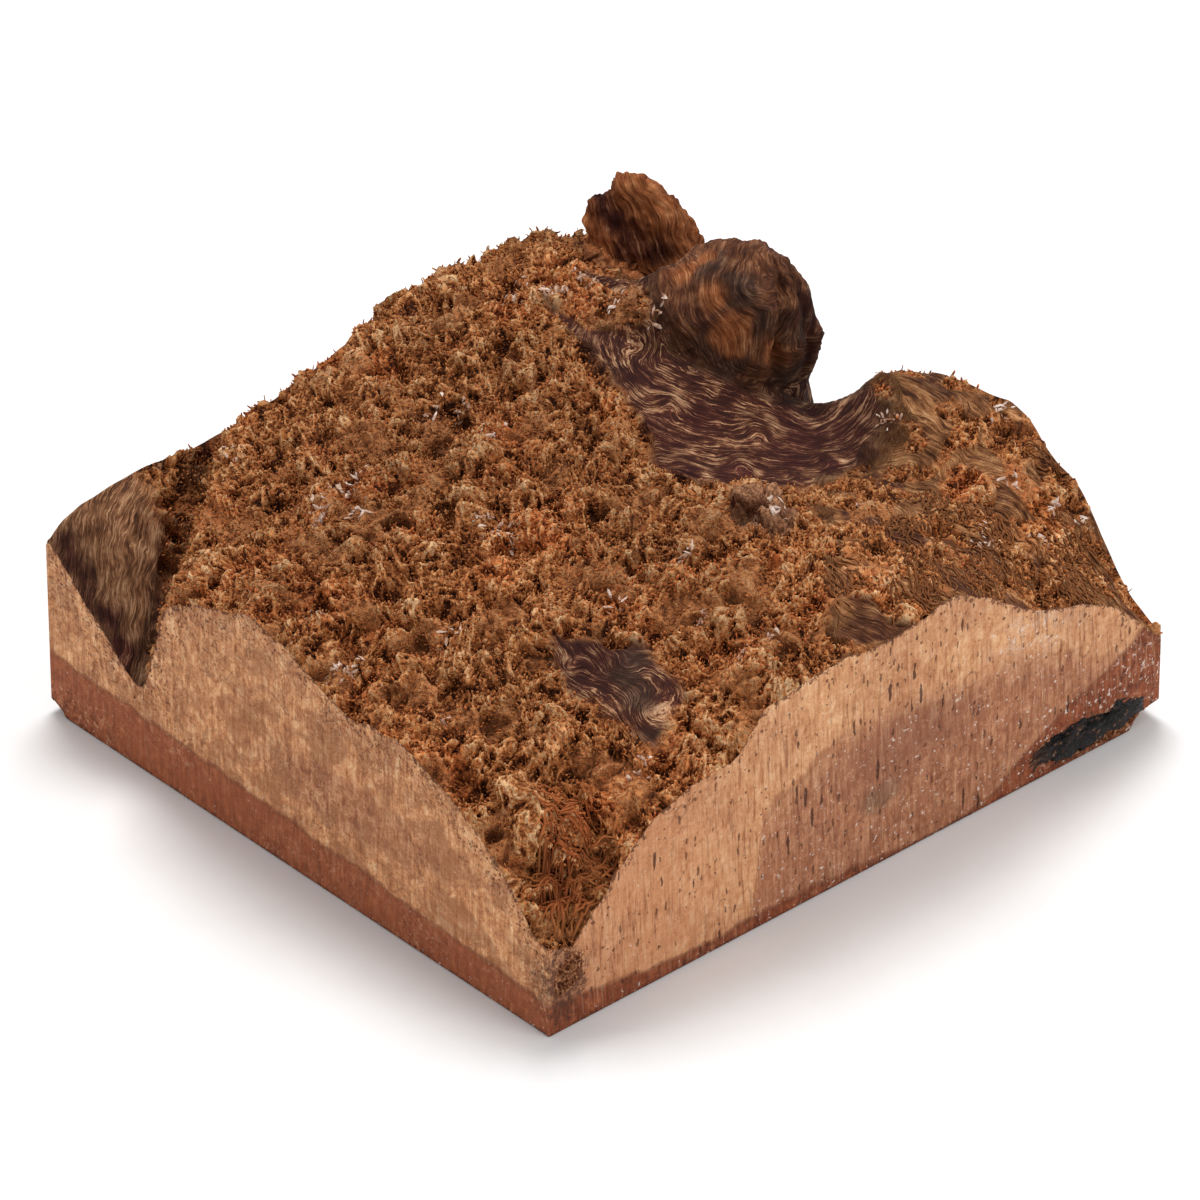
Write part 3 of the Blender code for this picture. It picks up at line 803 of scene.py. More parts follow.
colour = coat(tree, dusk, colour, tone(136, 82, 60))
ruddy = maths(tree, "MULTIPLY", between(tree, along, 0.42, 0.12, 0.0, 0.45), wide_face)
colour = coat(tree, ruddy, colour, tone(184, 116, 78))
colour = coat(tree, maths(tree, "MULTIPLY", narrow_face, 0.8), colour, burr)

# A mauve-grey cloud lies low on the narrow face, and birds' eyes ring its figured wood.
cloud_at = put(tree, "ShaderNodeCombineXYZ", {
    0: maths(tree, "MULTIPLY_ADD", deep, 5.2, -2.0), 1: maths(tree, "MULTIPLY_ADD", up, 0.055, -3.1),
}).outputs[0]
cloud_reach = put(tree, "ShaderNodeVectorMath", {0: cloud_at}, operation="LENGTH").outputs[1]
cloud_reach = maths(tree, "MULTIPLY_ADD", ragged, 0.07, cloud_reach)
cloudy = maths(tree, "MULTIPLY", between(tree, cloud_reach, 1.1, 0.6, 0.0, 0.6), narrow_face)
colour = coat(tree, cloudy, colour, mauve)
eye = put(tree, "ShaderNodeTexVoronoi", {"Vector": where, "Scale": 52.0, "Randomness": 1.0})
eye_chance = put(tree, "ShaderNodeSeparateColor", {0: eye.outputs["Color"]}).outputs[0]
ripple = maths(tree, "SINE", maths(tree, "MULTIPLY", eye.outputs["Distance"], 34.0))
eye_dark = maths(tree, "MULTIPLY", between(tree, ripple, 0.1, 0.9), between(tree, eye.outputs["Distance"], 0.42, 0.28))
eye_dark = maths(tree, "MULTIPLY", eye_dark, maths(tree, "GREATER_THAN", eye_chance, 0.5))
figured = between(tree, cloud(tree, where, 11.0, 2.0), 0.42, 0.6)
eye_dark = maths(tree, "MULTIPLY", eye_dark, figured)
colour = coat(tree, maths(tree, "MULTIPLY", eye_dark, 0.45), colour, tone(120, 66, 38))
bold = between(tree, cloud(tree, where, 42.0, 4.0, 0.65, 1.0), 0.42, 0.60, 0.0, 0.62)
colour = coat(tree, maths(tree, "MULTIPLY", bold, narrow_face), colour, tone(150, 94, 62))
colour = coat(tree, heart, colour, dark_red)
warmer = maths(tree, "MULTIPLY", maths(tree, "MULTIPLY", heart, narrow_face), 0.3)
colour = coat(tree, warmer, colour, tone(190, 112, 74))
heart_edge = between(tree, maths(tree, "ABSOLUTE", under_heart), 2.4, 0.4)
colour = coat(tree, maths(tree, "MULTIPLY", heart_edge, 0.35), colour, tone(92, 42, 26))

# Saw lines stand upright on the sides, a few millimetres apart, and strongest on the wide face.
sides = maths(tree, "ADD", spot[0], spot[1])
sides = maths(tree, "MULTIPLY_ADD", spot[2], 0.06, sides)
saw_at = put(tree, "ShaderNodeCombineXYZ", {0: sides, 1: maths(tree, "MULTIPLY", spot[2], 0.07)})
saw = cloud(tree, saw_at.outputs[0], 520.0, 3.0, 0.7)
deep_saw = maths(tree, "MULTIPLY_ADD", wide_face, 0.65, 0.35)
fading = between(tree, cloud(tree, where, 24.0, 2.0), 0.3, 0.6, 0.35, 1.0)
deep_saw = maths(tree, "MULTIPLY", deep_saw, fading)
scored = maths(tree, "MULTIPLY", between(tree, saw, 0.52, 0.64), deep_saw)
colour = coat(tree, maths(tree, "MULTIPLY", scored, 0.58), colour, tone(122, 68, 42))
# Beside the dark saw lines, pale lines are a painted highlight on the saw marks.
lit = maths(tree, "MULTIPLY", between(tree, saw, 0.48, 0.36), deep_saw)
colour = coat(tree, maths(tree, "MULTIPLY", lit, 0.16), colour, tone(244, 208, 168))

# Torn pits lean across the wide face, and small pores and specks lie everywhere.
bend = put(tree, "ShaderNodeTexNoise", {"Vector": where, "Scale": 300.0, "Detail": 3.0}).outputs["Color"]
bent = put(tree, "ShaderNodeVectorMath", {0: bend, 1: (0.0025, 0.0025, 0.0025), 2: where}, operation="MULTIPLY_ADD")
bent = bent.outputs[0]
pit_at = put(tree, "ShaderNodeMapping", {0: bent, 2: (0.0, -0.16, 0.0), 3: (1, 1, 0.17)}).outputs[0]
pits = put(tree, "ShaderNodeTexVoronoi", {"Vector": pit_at, "Scale": 190.0})
chance = put(tree, "ShaderNodeSeparateColor", {0: pits.outputs["Color"]}).outputs[0]
torn = between(tree, cloud(tree, where, 17.0, 2.0), 0.30, 0.50)
size = maths(tree, "MULTIPLY", between(tree, chance, 0.15, 1.0, 0.0, 0.22), torn)
size = maths(tree, "MULTIPLY", size, wide_face)
pit_dark = between(tree, maths(tree, "SUBTRACT", size, pits.outputs["Distance"]), 0.0, 0.03)
nick_at = put(tree, "ShaderNodeMapping", {0: bent, 2: (0.0, -0.2, 0.0), 3: (1, 1, 0.3)}).outputs[0]
nicks = put(tree, "ShaderNodeTexVoronoi", {"Vector": nick_at, "Scale": 360.0})
chance = put(tree, "ShaderNodeSeparateColor", {0: nicks.outputs["Color"]}).outputs[0]
size = maths(tree, "MULTIPLY", between(tree, chance, 0.5, 1.0, 0.0, 0.30), wide_face)
nick = between(tree, maths(tree, "SUBTRACT", size, nicks.outputs["Distance"]), 0.0, 0.04)
pit_dark = maths(tree, "MAXIMUM", pit_dark, maths(tree, "MULTIPLY", nick, 0.8))
pore = put(tree, "ShaderNodeTexVoronoi", {"Vector": bent, "Scale": 310.0})
chance = put(tree, "ShaderNodeSeparateColor", {0: pore.outputs["Color"]}).outputs[0]
near_rim = between(tree, attribute(tree, "from_rim"), 30.0, 2.0)
near_rim = maths(tree, "MULTIPLY", near_rim, maths(tree, "SUBTRACT", 1.0, maths(tree, "MULTIPLY", wide_face, 0.6)))
size = between(tree, maths(tree, "MULTIPLY_ADD", near_rim, 0.50, chance), 0.60, 1.4, 0.0, 0.48)
speck = between(tree, maths(tree, "SUBTRACT", size, pore.outputs["Distance"]), 0.0, 0.05)
fleck = put(tree, "ShaderNodeTexVoronoi", {"Vector": where, "Scale": 640.0})
fleck_dark = between(tree, fleck.outputs["Distance"], 0.26, 0.10)
gnarl = cloud(tree, bent, 290.0, 4.0, 0.6, 1.2)
rough = maths(tree, "MULTIPLY_ADD", cloud(tree, where, 30.0, 3.0), 1.8, -0.7)
rough = maths(tree, "ADD", rough, maths(tree, "MULTIPLY", near_rim, 0.6), clamp=True)
rough = maths(tree, "MULTIPLY", rough, maths(tree, "MULTIPLY_ADD", wide_face, -0.6, 1.0))
gouged = maths(tree, "MULTIPLY", between(tree, gnarl, 0.43, 0.34), rough)
# Proud grain, mostly near the rim, gets a painted highlight. The gouges are dark pits in the wood.
proud = maths(tree, "MULTIPLY", between(tree, gnarl, 0.54, 0.66), rough)
colour = coat(tree, maths(tree, "MULTIPLY", proud, 0.55), colour, tone(246, 204, 160))
colour = coat(tree, maths(tree, "MULTIPLY", gouged, 0.75), colour, tone(112, 62, 36))
colour = coat(tree, maths(tree, "MULTIPLY", pit_dark, 0.85), colour, tone(70, 36, 24))
colour = coat(tree, maths(tree, "MULTIPLY", speck, 0.75), colour, tone(92, 48, 28))
colour = coat(tree, maths(tree, "MULTIPLY", fleck_dark, 0.32), colour, tone(110, 62, 38))

# White dust and crumbs cling near the foot, over the heartwood and in a smear on the wide face.
dust_at = put(tree, "ShaderNodeCombineXYZ", {
    0: maths(tree, "MULTIPLY_ADD", along, 12.0, -9.4), 1: maths(tree, "MULTIPLY_ADD", up, 0.045, -3.9),
}).outputs[0]
smear = put(tree, "ShaderNodeVectorMath", {0: dust_at}, operation="LENGTH").outputs[1]
smear = maths(tree, "MULTIPLY", between(tree, smear, 1.3, 0.3), wide_face)
foot = between(tree, up, 9.0, 1.0, 0.0, 0.5)
wedge = maths(tree, "MULTIPLY", maths(tree, "MULTIPLY", heart, wide_face), between(tree, along, 0.7, 0.8))
dusting = maths(tree, "MAXIMUM", maths(tree, "MAXIMUM", smear, foot), wedge)
dusting = maths(tree, "ADD", maths(tree, "MAXIMUM", dusting, smeared), 0.06)
crumbs = cloud(tree, where, 380.0, 4.0, 0.72)
crumbs = maths(tree, "MULTIPLY_ADD", dusting, 0.075, crumbs)
crumb_white = between(tree, crumbs, 0.675, 0.70)
haze = maths(tree, "MULTIPLY", smear, between(tree, cloud(tree, where, 90.0, 4.0, 0.7), 0.45, 0.7, 0.0, 0.5))
colour = coat(tree, haze, colour, tone(222, 190, 170))
colour = coat(tree, maths(tree, "MULTIPLY", crumb_white, 0.85), colour, tone(232, 214, 200))
fringe = cloud(tree, where, 330.0, 3.0, 0.7)
fringe = maths(tree, "MULTIPLY_ADD", fringe, 15.0, attribute(tree, "from_rim"))
fringe = between(tree, fringe, 8.6, 7.4)
rot_at = put(tree, "ShaderNodeVectorMath", {0: where, 1: (-0.190, -0.1835, 0.029)}, operation="SUBTRACT")
rot_at = put(tree, "ShaderNodeVectorMath", {0: rot_at.outputs[0], 1: (1.5, 1.0, 0.8)}, operation="MULTIPLY")
rot = put(tree, "ShaderNodeVectorMath", {0: rot_at.outputs[0]}, operation="LENGTH").outputs[1]
rot = maths(tree, "MULTIPLY_ADD", cloud(tree, where, 150.0, 4.0, 0.7), -0.046, rot)
rot_shade = between(tree, rot, 0.000, -0.012)
rot_shade = maths(tree, "MULTIPLY", rot_shade, between(tree, crumbs, 0.40, 0.55, 0.5, 1.0))
colour = coat(tree, maths(tree, "MULTIPLY", rot_shade, 0.9), colour, tone(84, 46, 32))
colour = coat(tree, maths(tree, "MULTIPLY", fringe, 0.85), colour, tone(92, 50, 28))
chipped = maths(tree, "MULTIPLY_ADD", fleck.outputs["Distance"], 3.0, up)
chipped = maths(tree, "MULTIPLY_ADD", ragged, 0.35, chipped)
chipped = between(tree, chipped, 3.2, 1.6, 0.0, 0.6)
colour = coat(tree, chipped, colour, tone(66, 34, 24))
tree.links.new(colour, shader.inputs["Base Color"])
dents = maths(tree, "MULTIPLY_ADD", pit_dark, -1.6, maths(tree, "MULTIPLY", maths(tree, "MULTIPLY", saw, deep_saw), 1.2))
dents = maths(tree, "MULTIPLY_ADD", speck, -0.8, dents)
dents = maths(tree, "MULTIPLY_ADD", gouged, -1.2, dents)
dents = maths(tree, "MULTIPLY_ADD", fleck_dark, -0.3, dents)
dents = maths(tree, "MULTIPLY_ADD", mottle, 0.5, dents)
bump = put(tree, "ShaderNodeBump", {"Height": dents, "Distance": 0.0008, "Strength": 0.8})
tree.links.new(bump.outputs[0], shader.inputs["Normal"])

for strip in strips:
    strip.materials.append(cap)
    strip.materials.append(sawn_wood)
    wood = as_piece(strip.name, strip)
    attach(wood, "root")
    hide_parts("burl")


# The pins. Over most of the cap the real wood ends in short blunt pins of itself, each a stunted
# bud, packed in swirling tufts like moss. Each pin here is a bent blade, rooted in the wood.
PIN_SPACING = 2.45 * MM
PIN_LONGEST = 3.0
PIN_SHORTEST = 1.2

# One blade, a millimetre wide at its foot and as long as it is: foot, waist and blunt end.
BLADE = [
    (-0.5, 0.0, -0.3), (0.0, -0.22, -0.3), (0.5, 0.0, -0.3), (0.0, 0.22, -0.3),
    (-0.52, 0.10, 0.50), (0.0, -0.14, 0.55), (0.52, 0.10, 0.50), (0.0, 0.32, 0.48),
    (-0.34, 0.55, 0.92), (0.30, 0.48, 1.0),
]
BLADE_FACES = [
    (0, 1, 5, 4), (1, 2, 6, 5), (2, 3, 7, 6), (3, 0, 4, 7), (4, 5, 8), (5, 9, 8),
    (5, 6, 9), (6, 7, 9), (7, 8, 9), (7, 4, 8), (3, 2, 1, 0),
]
BLADE_TIPS = [0, 0, 0, 0, 0.55, 0.55, 0.55, 0.55, 1, 1]


def blade_shape(name, points):
    """One pin to be repeated, in millimetres made metres."""
    mesh = bpy.data.meshes.new(name)
    mesh.from_pydata([tuple(part * MM for part in point) for point in points], [], BLADE_FACES)
    mesh.polygons.foreach_set("use_smooth", [True] * len(BLADE_FACES))
    set_attribute(mesh, "tip", BLADE_TIPS)
    return as_piece(name, mesh)


def pin_tree():
    """Geometry nodes that plant pins over a surface, thickest where its pins number is 1."""
    made = bpy.data.node_groups.new("pin planting", "GeometryNodeTree")
    face = made.interface
    face.new_socket("Geometry", in_out="INPUT", socket_type="NodeSocketGeometry")
    face.new_socket("Geometry", in_out="OUTPUT", socket_type="NodeSocketGeometry")
    face.new_socket("Pin", in_out="INPUT", socket_type="NodeSocketObject")
    face.new_socket("Finish", in_out="INPUT", socket_type="NodeSocketMaterial")
    for name in ("Spacing", "Shortest", "Longest", "Width", "Lean"):
        face.new_socket(name, in_out="INPUT", socket_type="NodeSocketFloat")
    face.new_socket("Seed", in_out="INPUT", socket_type="NodeSocketInt")
    given = made.nodes.new("NodeGroupInput").outputs
    place = put(made, "GeometryNodeInputPosition").outputs[0]
    finish = put(made, "GeometryNodeInputMaterialIndex").outputs[0]
    here = put(made, "FunctionNodeCompare", {2: finish, 3: 0}, data_type="INT", operation="EQUAL")
    cover = put(made, "GeometryNodeInputNamedAttribute", {0: "planting"}, data_type="FLOAT").outputs[0]
    planted = put(
        made,
        "GeometryNodeDistributePointsOnFaces",
        {
            "Mesh": given["Geometry"], "Selection": here.outputs[0],
            "Distance Min": given["Spacing"], "Density Max": 900000.0,
            "Density Factor": cover, "Seed": given["Seed"],
        },
        distribute_method="POISSON",
    )
    swirl = put(made, "ShaderNodeTexNoise", {"Scale": 62.0, "Detail": 1.0})
    scatter = put(made, "FunctionNodeRandomValue", {0: (-1, -1, -1), 1: (1, 1, 1)}, data_type="FLOAT_VECTOR")
    centred = put(made, "ShaderNodeVectorMath", {0: swirl.outputs["Color"], 1: (0.5, 0.5, 0.45)}, operation="SUBTRACT")
    leaning = put(made, "ShaderNodeVectorMath", {0: centred.outputs[0], 3: given["Lean"]}, operation="SCALE")
    strayed = put(made, "ShaderNodeVectorMath", {0: scatter.outputs[0], 3: 0.35}, operation="SCALE")
    way = put(made, "ShaderNodeVectorMath", {0: leaning.outputs[0], 1: strayed.outputs[0]}, operation="ADD")
    way = put(made, "ShaderNodeVectorMath", {0: way.outputs[0], 1: planted.outputs["Normal"]}, operation="ADD")
    turned = put(made, "FunctionNodeAlignRotationToVector", {"Vector": way.outputs[0]}, axis="Z")
    spin = put(made, "FunctionNodeRandomValue", {2: -0.7, 3: 0.7, "Seed": 5}, data_type="FLOAT")
    eddy = cloud(made, place, 48.0, 1.0)
    spin = maths(made, "MULTIPLY_ADD", eddy, 22.0, spin.outputs[1])
    spun = put(made, "FunctionNodeAxisAngleToRotation", {0: (0, 0, 1), 1: spin})
    rotation = put(made, "FunctionNodeRotateRotation", {0: turned.outputs[0], 1: spun.outputs[0]}, rotation_space="LOCAL")
    long = put(made, "FunctionNodeRandomValue", {2: given["Shortest"], 3: given["Longest"], "Seed": 7}, data_type="FLOAT")
    stout = put(made, "FunctionNodeRandomValue", {2: 0.7, 3: 1.3, "Seed": 9}, data_type="FLOAT")
    wide = maths(made, "MULTIPLY", stout.outputs[1], given["Width"])
    scale = put(made, "ShaderNodeCombineXYZ", {0: wide, 1: wide, 2: long.outputs[1]})
    shape = put(made, "GeometryNodeObjectInfo", {0: given["Pin"]})
    pinned = put(
        made,
        "GeometryNodeInstanceOnPoints",
        {
            "Points": planted.outputs["Points"], "Instance": shape.outputs["Geometry"],
            "Rotation": rotation.outputs[0], "Scale": scale.outputs[0],
        },
    )
    own = put(made, "FunctionNodeRandomValue", {2: 0.0, 3: 1.0, "Seed": 11}, data_type="FLOAT")
    marked = put(
        made,
        "GeometryNodeStoreNamedAttribute",
        {"Geometry": pinned.outputs[0], "Name": "own", "Value": own.outputs[1]},
        data_type="FLOAT",
        domain="INSTANCE",
    )
    real = put(made, "GeometryNodeRealizeInstances", {0: marked.outputs[0]})
    finished = put(made, "GeometryNodeSetMaterial", {"Geometry": real.outputs[0], "Material": given["Finish"]})
    put(made, "NodeGroupOutput", {0: finished.outputs[0]})
    return made


pin_finish, tree, shader = new_material("pin_wood", 0.82, 0.14)
where = put(tree, "ShaderNodeTexCoord").outputs["Object"]
dusty = cloud(tree, where, 26.0, 2.0)
own_tone = maths(tree, "MULTIPLY_ADD", attribute(tree, "own"), 0.26, -0.13)
reach = maths(tree, "MULTIPLY_ADD", attribute(tree, "tip"), 0.44, own_tone)
# The high number carries the ground's painted light and shade into the pins too.
reach = maths(tree, "MULTIPLY_ADD", attribute(tree, "high"), 0.14, reach)
brown = stops(tree, reach, [
    (0.0, tone(86, 44, 20)), (0.22, tone(144, 82, 41)), (0.45, tone(180, 110, 61)),
    (0.62, tone(206, 139, 86)), (0.85, tone(228, 180, 132)),
])
rusty = stops(tree, reach, [
    (0.0, tone(92, 44, 22)), (0.25, tone(164, 86, 44)), (0.55, tone(204, 120, 68)),
    (0.85, tone(224, 160, 110)),
])
colour = coat(tree, between(tree, dusty, 0.52, 0.68), brown, rusty)
olive = stops(tree, reach, [
    (0.0, tone(64, 36, 20)), (0.35, tone(112, 70, 40)), (0.55, tone(152, 100, 60)),
    (0.85, tone(196, 146, 98)),
])
colour = coat(tree, attribute(tree, "olive"), colour, olive)
dim = between(tree, cloud(tree, where, 12.0, 2.0), 0.3, 0.7, 0.84, 1.15)
back = put(tree, "ShaderNodeSeparateXYZ", {0: where}).outputs[1]
# Painted shade: the pins grow darker towards the back, along +Y, and lighter towards the front.
dim = maths(tree, "MULTIPLY", dim, maths(tree, "MULTIPLY_ADD", back, -0.5, 0.99))
colour = put(tree, "ShaderNodeVectorMath", {0: colour, 3: dim}, operation="SCALE").outputs[0]
tree.links.new(colour, shader.inputs["Base Color"])


def fit_to_saw_cuts(mesh, overhang):
    """Pins that cross a sawn side are cut off just proud of it."""
    found = np.empty(3 * len(mesh.vertices), np.float32)
    mesh.vertices.foreach_get("co", found)
    found = found.reshape(-1, 3)
    limit = np.array([LENGTH / 2, WIDTH / 2]) + overhang
    found[:, :2] = np.clip(found[:, :2], -limit * MM, limit * MM)
    found[:, 2] = np.maximum(found[:, 2], 0)
    mesh.vertices.foreach_set("co", found.ravel())
    mesh.update()


def planted(name, ground, tree, values):
    """A plain mesh object of what the tree of nodes makes on the ground."""
    host = as_piece(name + "_ground", ground)
    planting = host.modifiers.new("planting", "NODES")
    planting.node_group = tree
    for item in tree.interface.items_tree:
        if item.in_out == "INPUT" and item.name in values:
            planting[item.identifier] = values[item.name]
    shown = host.evaluated_get(bpy.context.evaluated_depsgraph_get())
    mesh = bpy.data.meshes.new_from_object(shown)
    mesh.name = name
    bpy.data.objects.remove(host)
    fit_to_saw_cuts(mesh, 0.8)
    return as_piece(name, mesh)


blade = blade_shape("blade", BLADE)
planting_tree = pin_tree()
for number, strip in enumerate(strips):
    values = {
        "Pin": blade, "Finish": pin_finish, "Spacing": PIN_SPACING, "Seed": 4,
        "Shortest": PIN_SHORTEST, "Longest": PIN_LONGEST, "Width": 1.0, "Lean": 4.8,
    }
    patch = planted(f"pins_{number + 1}", strip, planting_tree, values)
    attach(patch, "root")
bpy.data.objects.remove(blade)


# The gum. A pocket in the wide face holds dried kino gum, black and glassy, which bled out of the
# heartwood and set there. It fills the pocket that is cut in the solid.
GUM_PLACE = (352, 3.2, 13)
GUM_RADII = (49, 5.5, 10.5)
gum_mesh = bpy.data.meshes.new("gum")
shape = bmesh.new()
bmesh.ops.create_icosphere(shape, subdivisions=5, radius=1)
for vert in shape.verts:
    at = vert.co.copy()
    x, y, z = (at[axis] * GUM_RADII[axis] for axis in range(3))
    z += 0.06 * x
    broken = 3.4 * noise.noise(Vector((x, y, z)) / 9) + 2.6 * abs(noise.noise(Vector((x, y, z)) / 3.5))
    broken += 1.4 * noise.noise(Vector((x, y, z)) / 1.8) - 0.8
    place = Vector((GUM_PLACE[0] + x, GUM_PLACE[1] + y, GUM_PLACE[2] + z)) + at * broken
    place.x = min(place.x, LENGTH + 0.3)
    place.y = place.y if place.y > -0.4 else -0.4 + 0.5 * (place.y + 0.4)
    place.z = max(place.z, 0.4)
    vert.co = ((place.x - LENGTH / 2) * MM, (place.y - WIDTH / 2) * MM, place.z * MM)
for surface in shape.faces:
    surface.smooth = True
shape.to_mesh(gum_mesh)
shape.free()
gum_finish, tree, shader = new_material("gum", 0.3, 0.45)
where = put(tree, "ShaderNodeTexCoord").outputs["Object"]
spot = put(tree, "ShaderNodeSeparateXYZ", {0: where}).outputs
crust = cloud(tree, where, 300.0, 4.0, 0.7)
black = stops(tree, crust, [
    (0.35, tone(6, 4, 4)), (0.56, tone(16, 11, 9)), (0.61, tone(96, 58, 40)),
    (0.70, tone(188, 146, 116)),
])
crumbly = stops(tree, crust, [
    (0.35, tone(26, 13, 9)), (0.5, tone(104, 56, 34)), (0.64, tone(186, 136, 100)),
])
brown_end = maths(tree, "MULTIPLY_ADD", crust, 0.06, spot[0])
brown_end = between(tree, brown_end, 0.158, 0.132)
gum_colour = coat(tree, brown_end, black, crumbly)
tree.links.new(gum_colour, shader.inputs["Base Color"])
matt = between(tree, crust, 0.42, 0.60, 0.16, 0.7)
tree.links.new(matt, shader.inputs["Roughness"])
bump = put(tree, "ShaderNodeBump", {"Height": crust, "Distance": 0.006, "Strength": 1.0})
tree.links.new(bump.outputs[0], shader.inputs["Normal"])
gum_mesh.materials.append(gum_finish)
gum = as_piece("gum", gum_mesh)
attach(gum, "root")


# White crust. Scraps of dried lichen, old sap and torn pale fibre cling to the cap in small
# clusters. Each scrap here is a thin flat crumb that lies on the wood.
CRUST_PLACES = [
    (97, 339), (106, 265), (112, 266), (101, 264), (92, 241), (88, 233), (76, 250), (80, 258),
    (178, 242), (172, 231), (182, 267), (124, 189), (123, 178), (127, 174), (128, 168), (29, 202),
    (18, 161), (12, 165), (63, 141), (268, 322), (259, 316), (293, 305), (292, 296), (286, 272),
    (289, 243), (173, 279), (268, 295), (270, 300), (174, 98), (287, 90),
    (316, 39), (320, 47), (397, 106), (389, 104), (342, 140), (346, 135), (152, 62), (149, 31),
    (169, 32), (26, 102), (77, 22), (131, 99), (243, 104), (236, 101), (230, 106), (352, 37),
    (389, 47), (361, 68), (374, 52),
]
CRUST_SPREAD = 2.1
SCRAPS_PER_PLACE = 9
ground = BVHTree.FromPolygons(burl_places.tolist(), burl_triangles.tolist())
crust_random = np.random.default_rng(12)
scrap_points = []
scrap_faces = []
for x, y in CRUST_PLACES:
    drawn = crust_random.normal(size=(SCRAPS_PER_PLACE, 2)) * CRUST_SPREAD
    drawn[:, 0] *= 1.5
    for step in drawn:
        place, up_from_wood, _, _ = ground.ray_cast(Vector((x + step[0], y + step[1], 260)), Vector((0, 0, -1)))
        if place is None or place.x > LENGTH - 2 or place.y > WIDTH - 2:
            continue
        size = crust_random.uniform(0.5, 1.7)
        turned = up_from_wood.to_track_quat("Z", "Y") @ Quaternion((0, 0, 1), crust_random.uniform(0, 6.28))
        first = len(scrap_points)
        for corner in range(6):
            angle = corner * math.tau / 6
            reach = size * crust_random.uniform(0.5, 1.3)
            point = Vector((reach * 2.0 * math.cos(angle), reach * 0.75 * math.sin(angle), 0))
            scrap_points.append(place + turned @ (point + Vector((0, 0, crust_random.uniform(0.1, 0.7)))))
        scrap_points.append(place + turned @ Vector((0, 0, size * 0.25 + 0.6)))
        scrap_points.append(place + turned @ Vector((0, 0, -0.4)))
        for corner in range(6):
            after = (corner + 1) % 6
            scrap_faces.append((first + corner, first + after, first + 6))
            scrap_faces.append((first + after, first + corner, first + 7))
crust_mesh = new_mesh("white_crust", np.array(scrap_points), np.array(scrap_faces), [False] * len(scrap_faces))
crust_finish, tree, shader = new_material("white_crust", 0.85, 0.2)
where = put(tree, "ShaderNodeTexCoord").outputs["Object"]
chalky = cloud(tree, where, 160.0, 3.0, 0.6)
chalk = stops(tree, chalky, [
    (0.35, tone(138, 92, 66)), (0.5, tone(190, 156, 134)), (0.65, tone(226, 208, 196)),
])
tree.links.new(chalk, shader.inputs["Base Color"])
crust_mesh.materials.append(crust_finish)
crust = as_piece("white_crust", crust_mesh)
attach(crust, "root")


# The curls. At the near corner and on the shoulder the pins grew long: flat curly strands that lie
# on the cap like combed hair. Each is a ribbon of the same wood. A comb is a place on the plan,
# how far it spreads each way, where its strands head, in degrees, and how many there are.
COMBS = [
    (44, 7, 5, 5, 135, 50), (34, 14, 6, 5, 160, 50), (24, 18, 5, 5, 200, 40), (40, 26, 8, 6, 120, 26),
    (333, 50, 7, 7, -100, 46), (309, 32, 7, 8, -95, 46), (292, 16, 7, 7, -100, 46),
    (356, 28, 7, 8, -80, 46), (346, 14, 8, 6, -85, 46), (283, 64, 7, 7, -120, 40),
    (267, 36, 7, 8, -110, 46), (378, 40, 7, 8, -70, 40), (318, 74, 8, 6, -130, 36),
    (250, 20, 8, 6, -105, 36), (388, 80, 6, 8, -60, 30), (226, 42, 7, 7, -110, 30),
]
CURL_STEPS = 9
CURL_STEP = 1.9
curl_random = np.random.default_rng(7)
curl_points = []
curl_faces = []
curl_tips = []
curl_olive = []
roots = [comb[:5] for comb in COMBS for _ in range(comb[5])]
for number, (x, y, wide, deep, way) in enumerate(roots):
    root = np.array([x, y]) + curl_random.normal(size=2) * [wide, deep]
    near_corner = x < 100
    heading = math.radians(curl_random.normal(way, 16 if near_corner else 10))
    half_width = curl_random.uniform(0.6, 1.15) if near_corner else curl_random.uniform(0.4, 0.75)
    arch = curl_random.uniform(0.8, 3.2) if near_corner else curl_random.uniform(0.2, 1.2)
    bend_rate = curl_random.normal(0, 0.10)
    steps = int(curl_random.integers(5, CURL_STEPS + 1))
    first = len(curl_points)
    rows = 0
    for step in range(steps + 1):
        place, _, _, _ = ground.ray_cast(Vector((root[0], root[1], 200)), Vector((0, 0, -1)))
        if place is None:
            break
        along_curl = step / steps
        lift = arch * math.sin(math.pi * min(along_curl * 0.9 + 0.08, 1)) + 0.2
        wave = 0.7 * math.sin(step * 1.3 + number)
        side = Vector((-math.sin(heading), math.cos(heading), 0))
        middle = place + Vector((0, 0, lift)) + side * wave
        narrow = half_width * (1 - 0.75 * along_curl**3)
        tilt = Vector((0, 0, 0.5)) * math.sin(number + step * 0.5)
        curl_points += [
            middle - side * narrow - tilt * narrow, middle + Vector((0, 0, 0.35)),
            middle + side * narrow + tilt * narrow, middle - Vector((0, 0, 0.8)),
        ]
        curl_tips += [along_curl] * 4
        curl_olive += [0.25 if near_corner else 0.8] * 4
        rows += 1
        heading += bend_rate + 0.10 * math.sin(number * 1.7 + step)
        root = root + CURL_STEP * np.array([math.cos(heading), math.sin(heading)])
    for row in range(rows - 1):
        for corner in range(4):
            a = first + row * 4 + corner
            b = first + row * 4 + (corner + 1) % 4
            curl_faces += [(a, b + 4, b), (a, a + 4, b + 4)]
    if rows > 1:
        last = first + (rows - 1) * 4
        curl_faces += [(first, first + 1, first + 2), (first, first + 2, first + 3)]
        curl_faces += [(last, last + 2, last + 1), (last, last + 3, last + 2)]
    else:
        del curl_points[first:]
        del curl_tips[first:]
        del curl_olive[first:]
curl_places = np.array(curl_points)
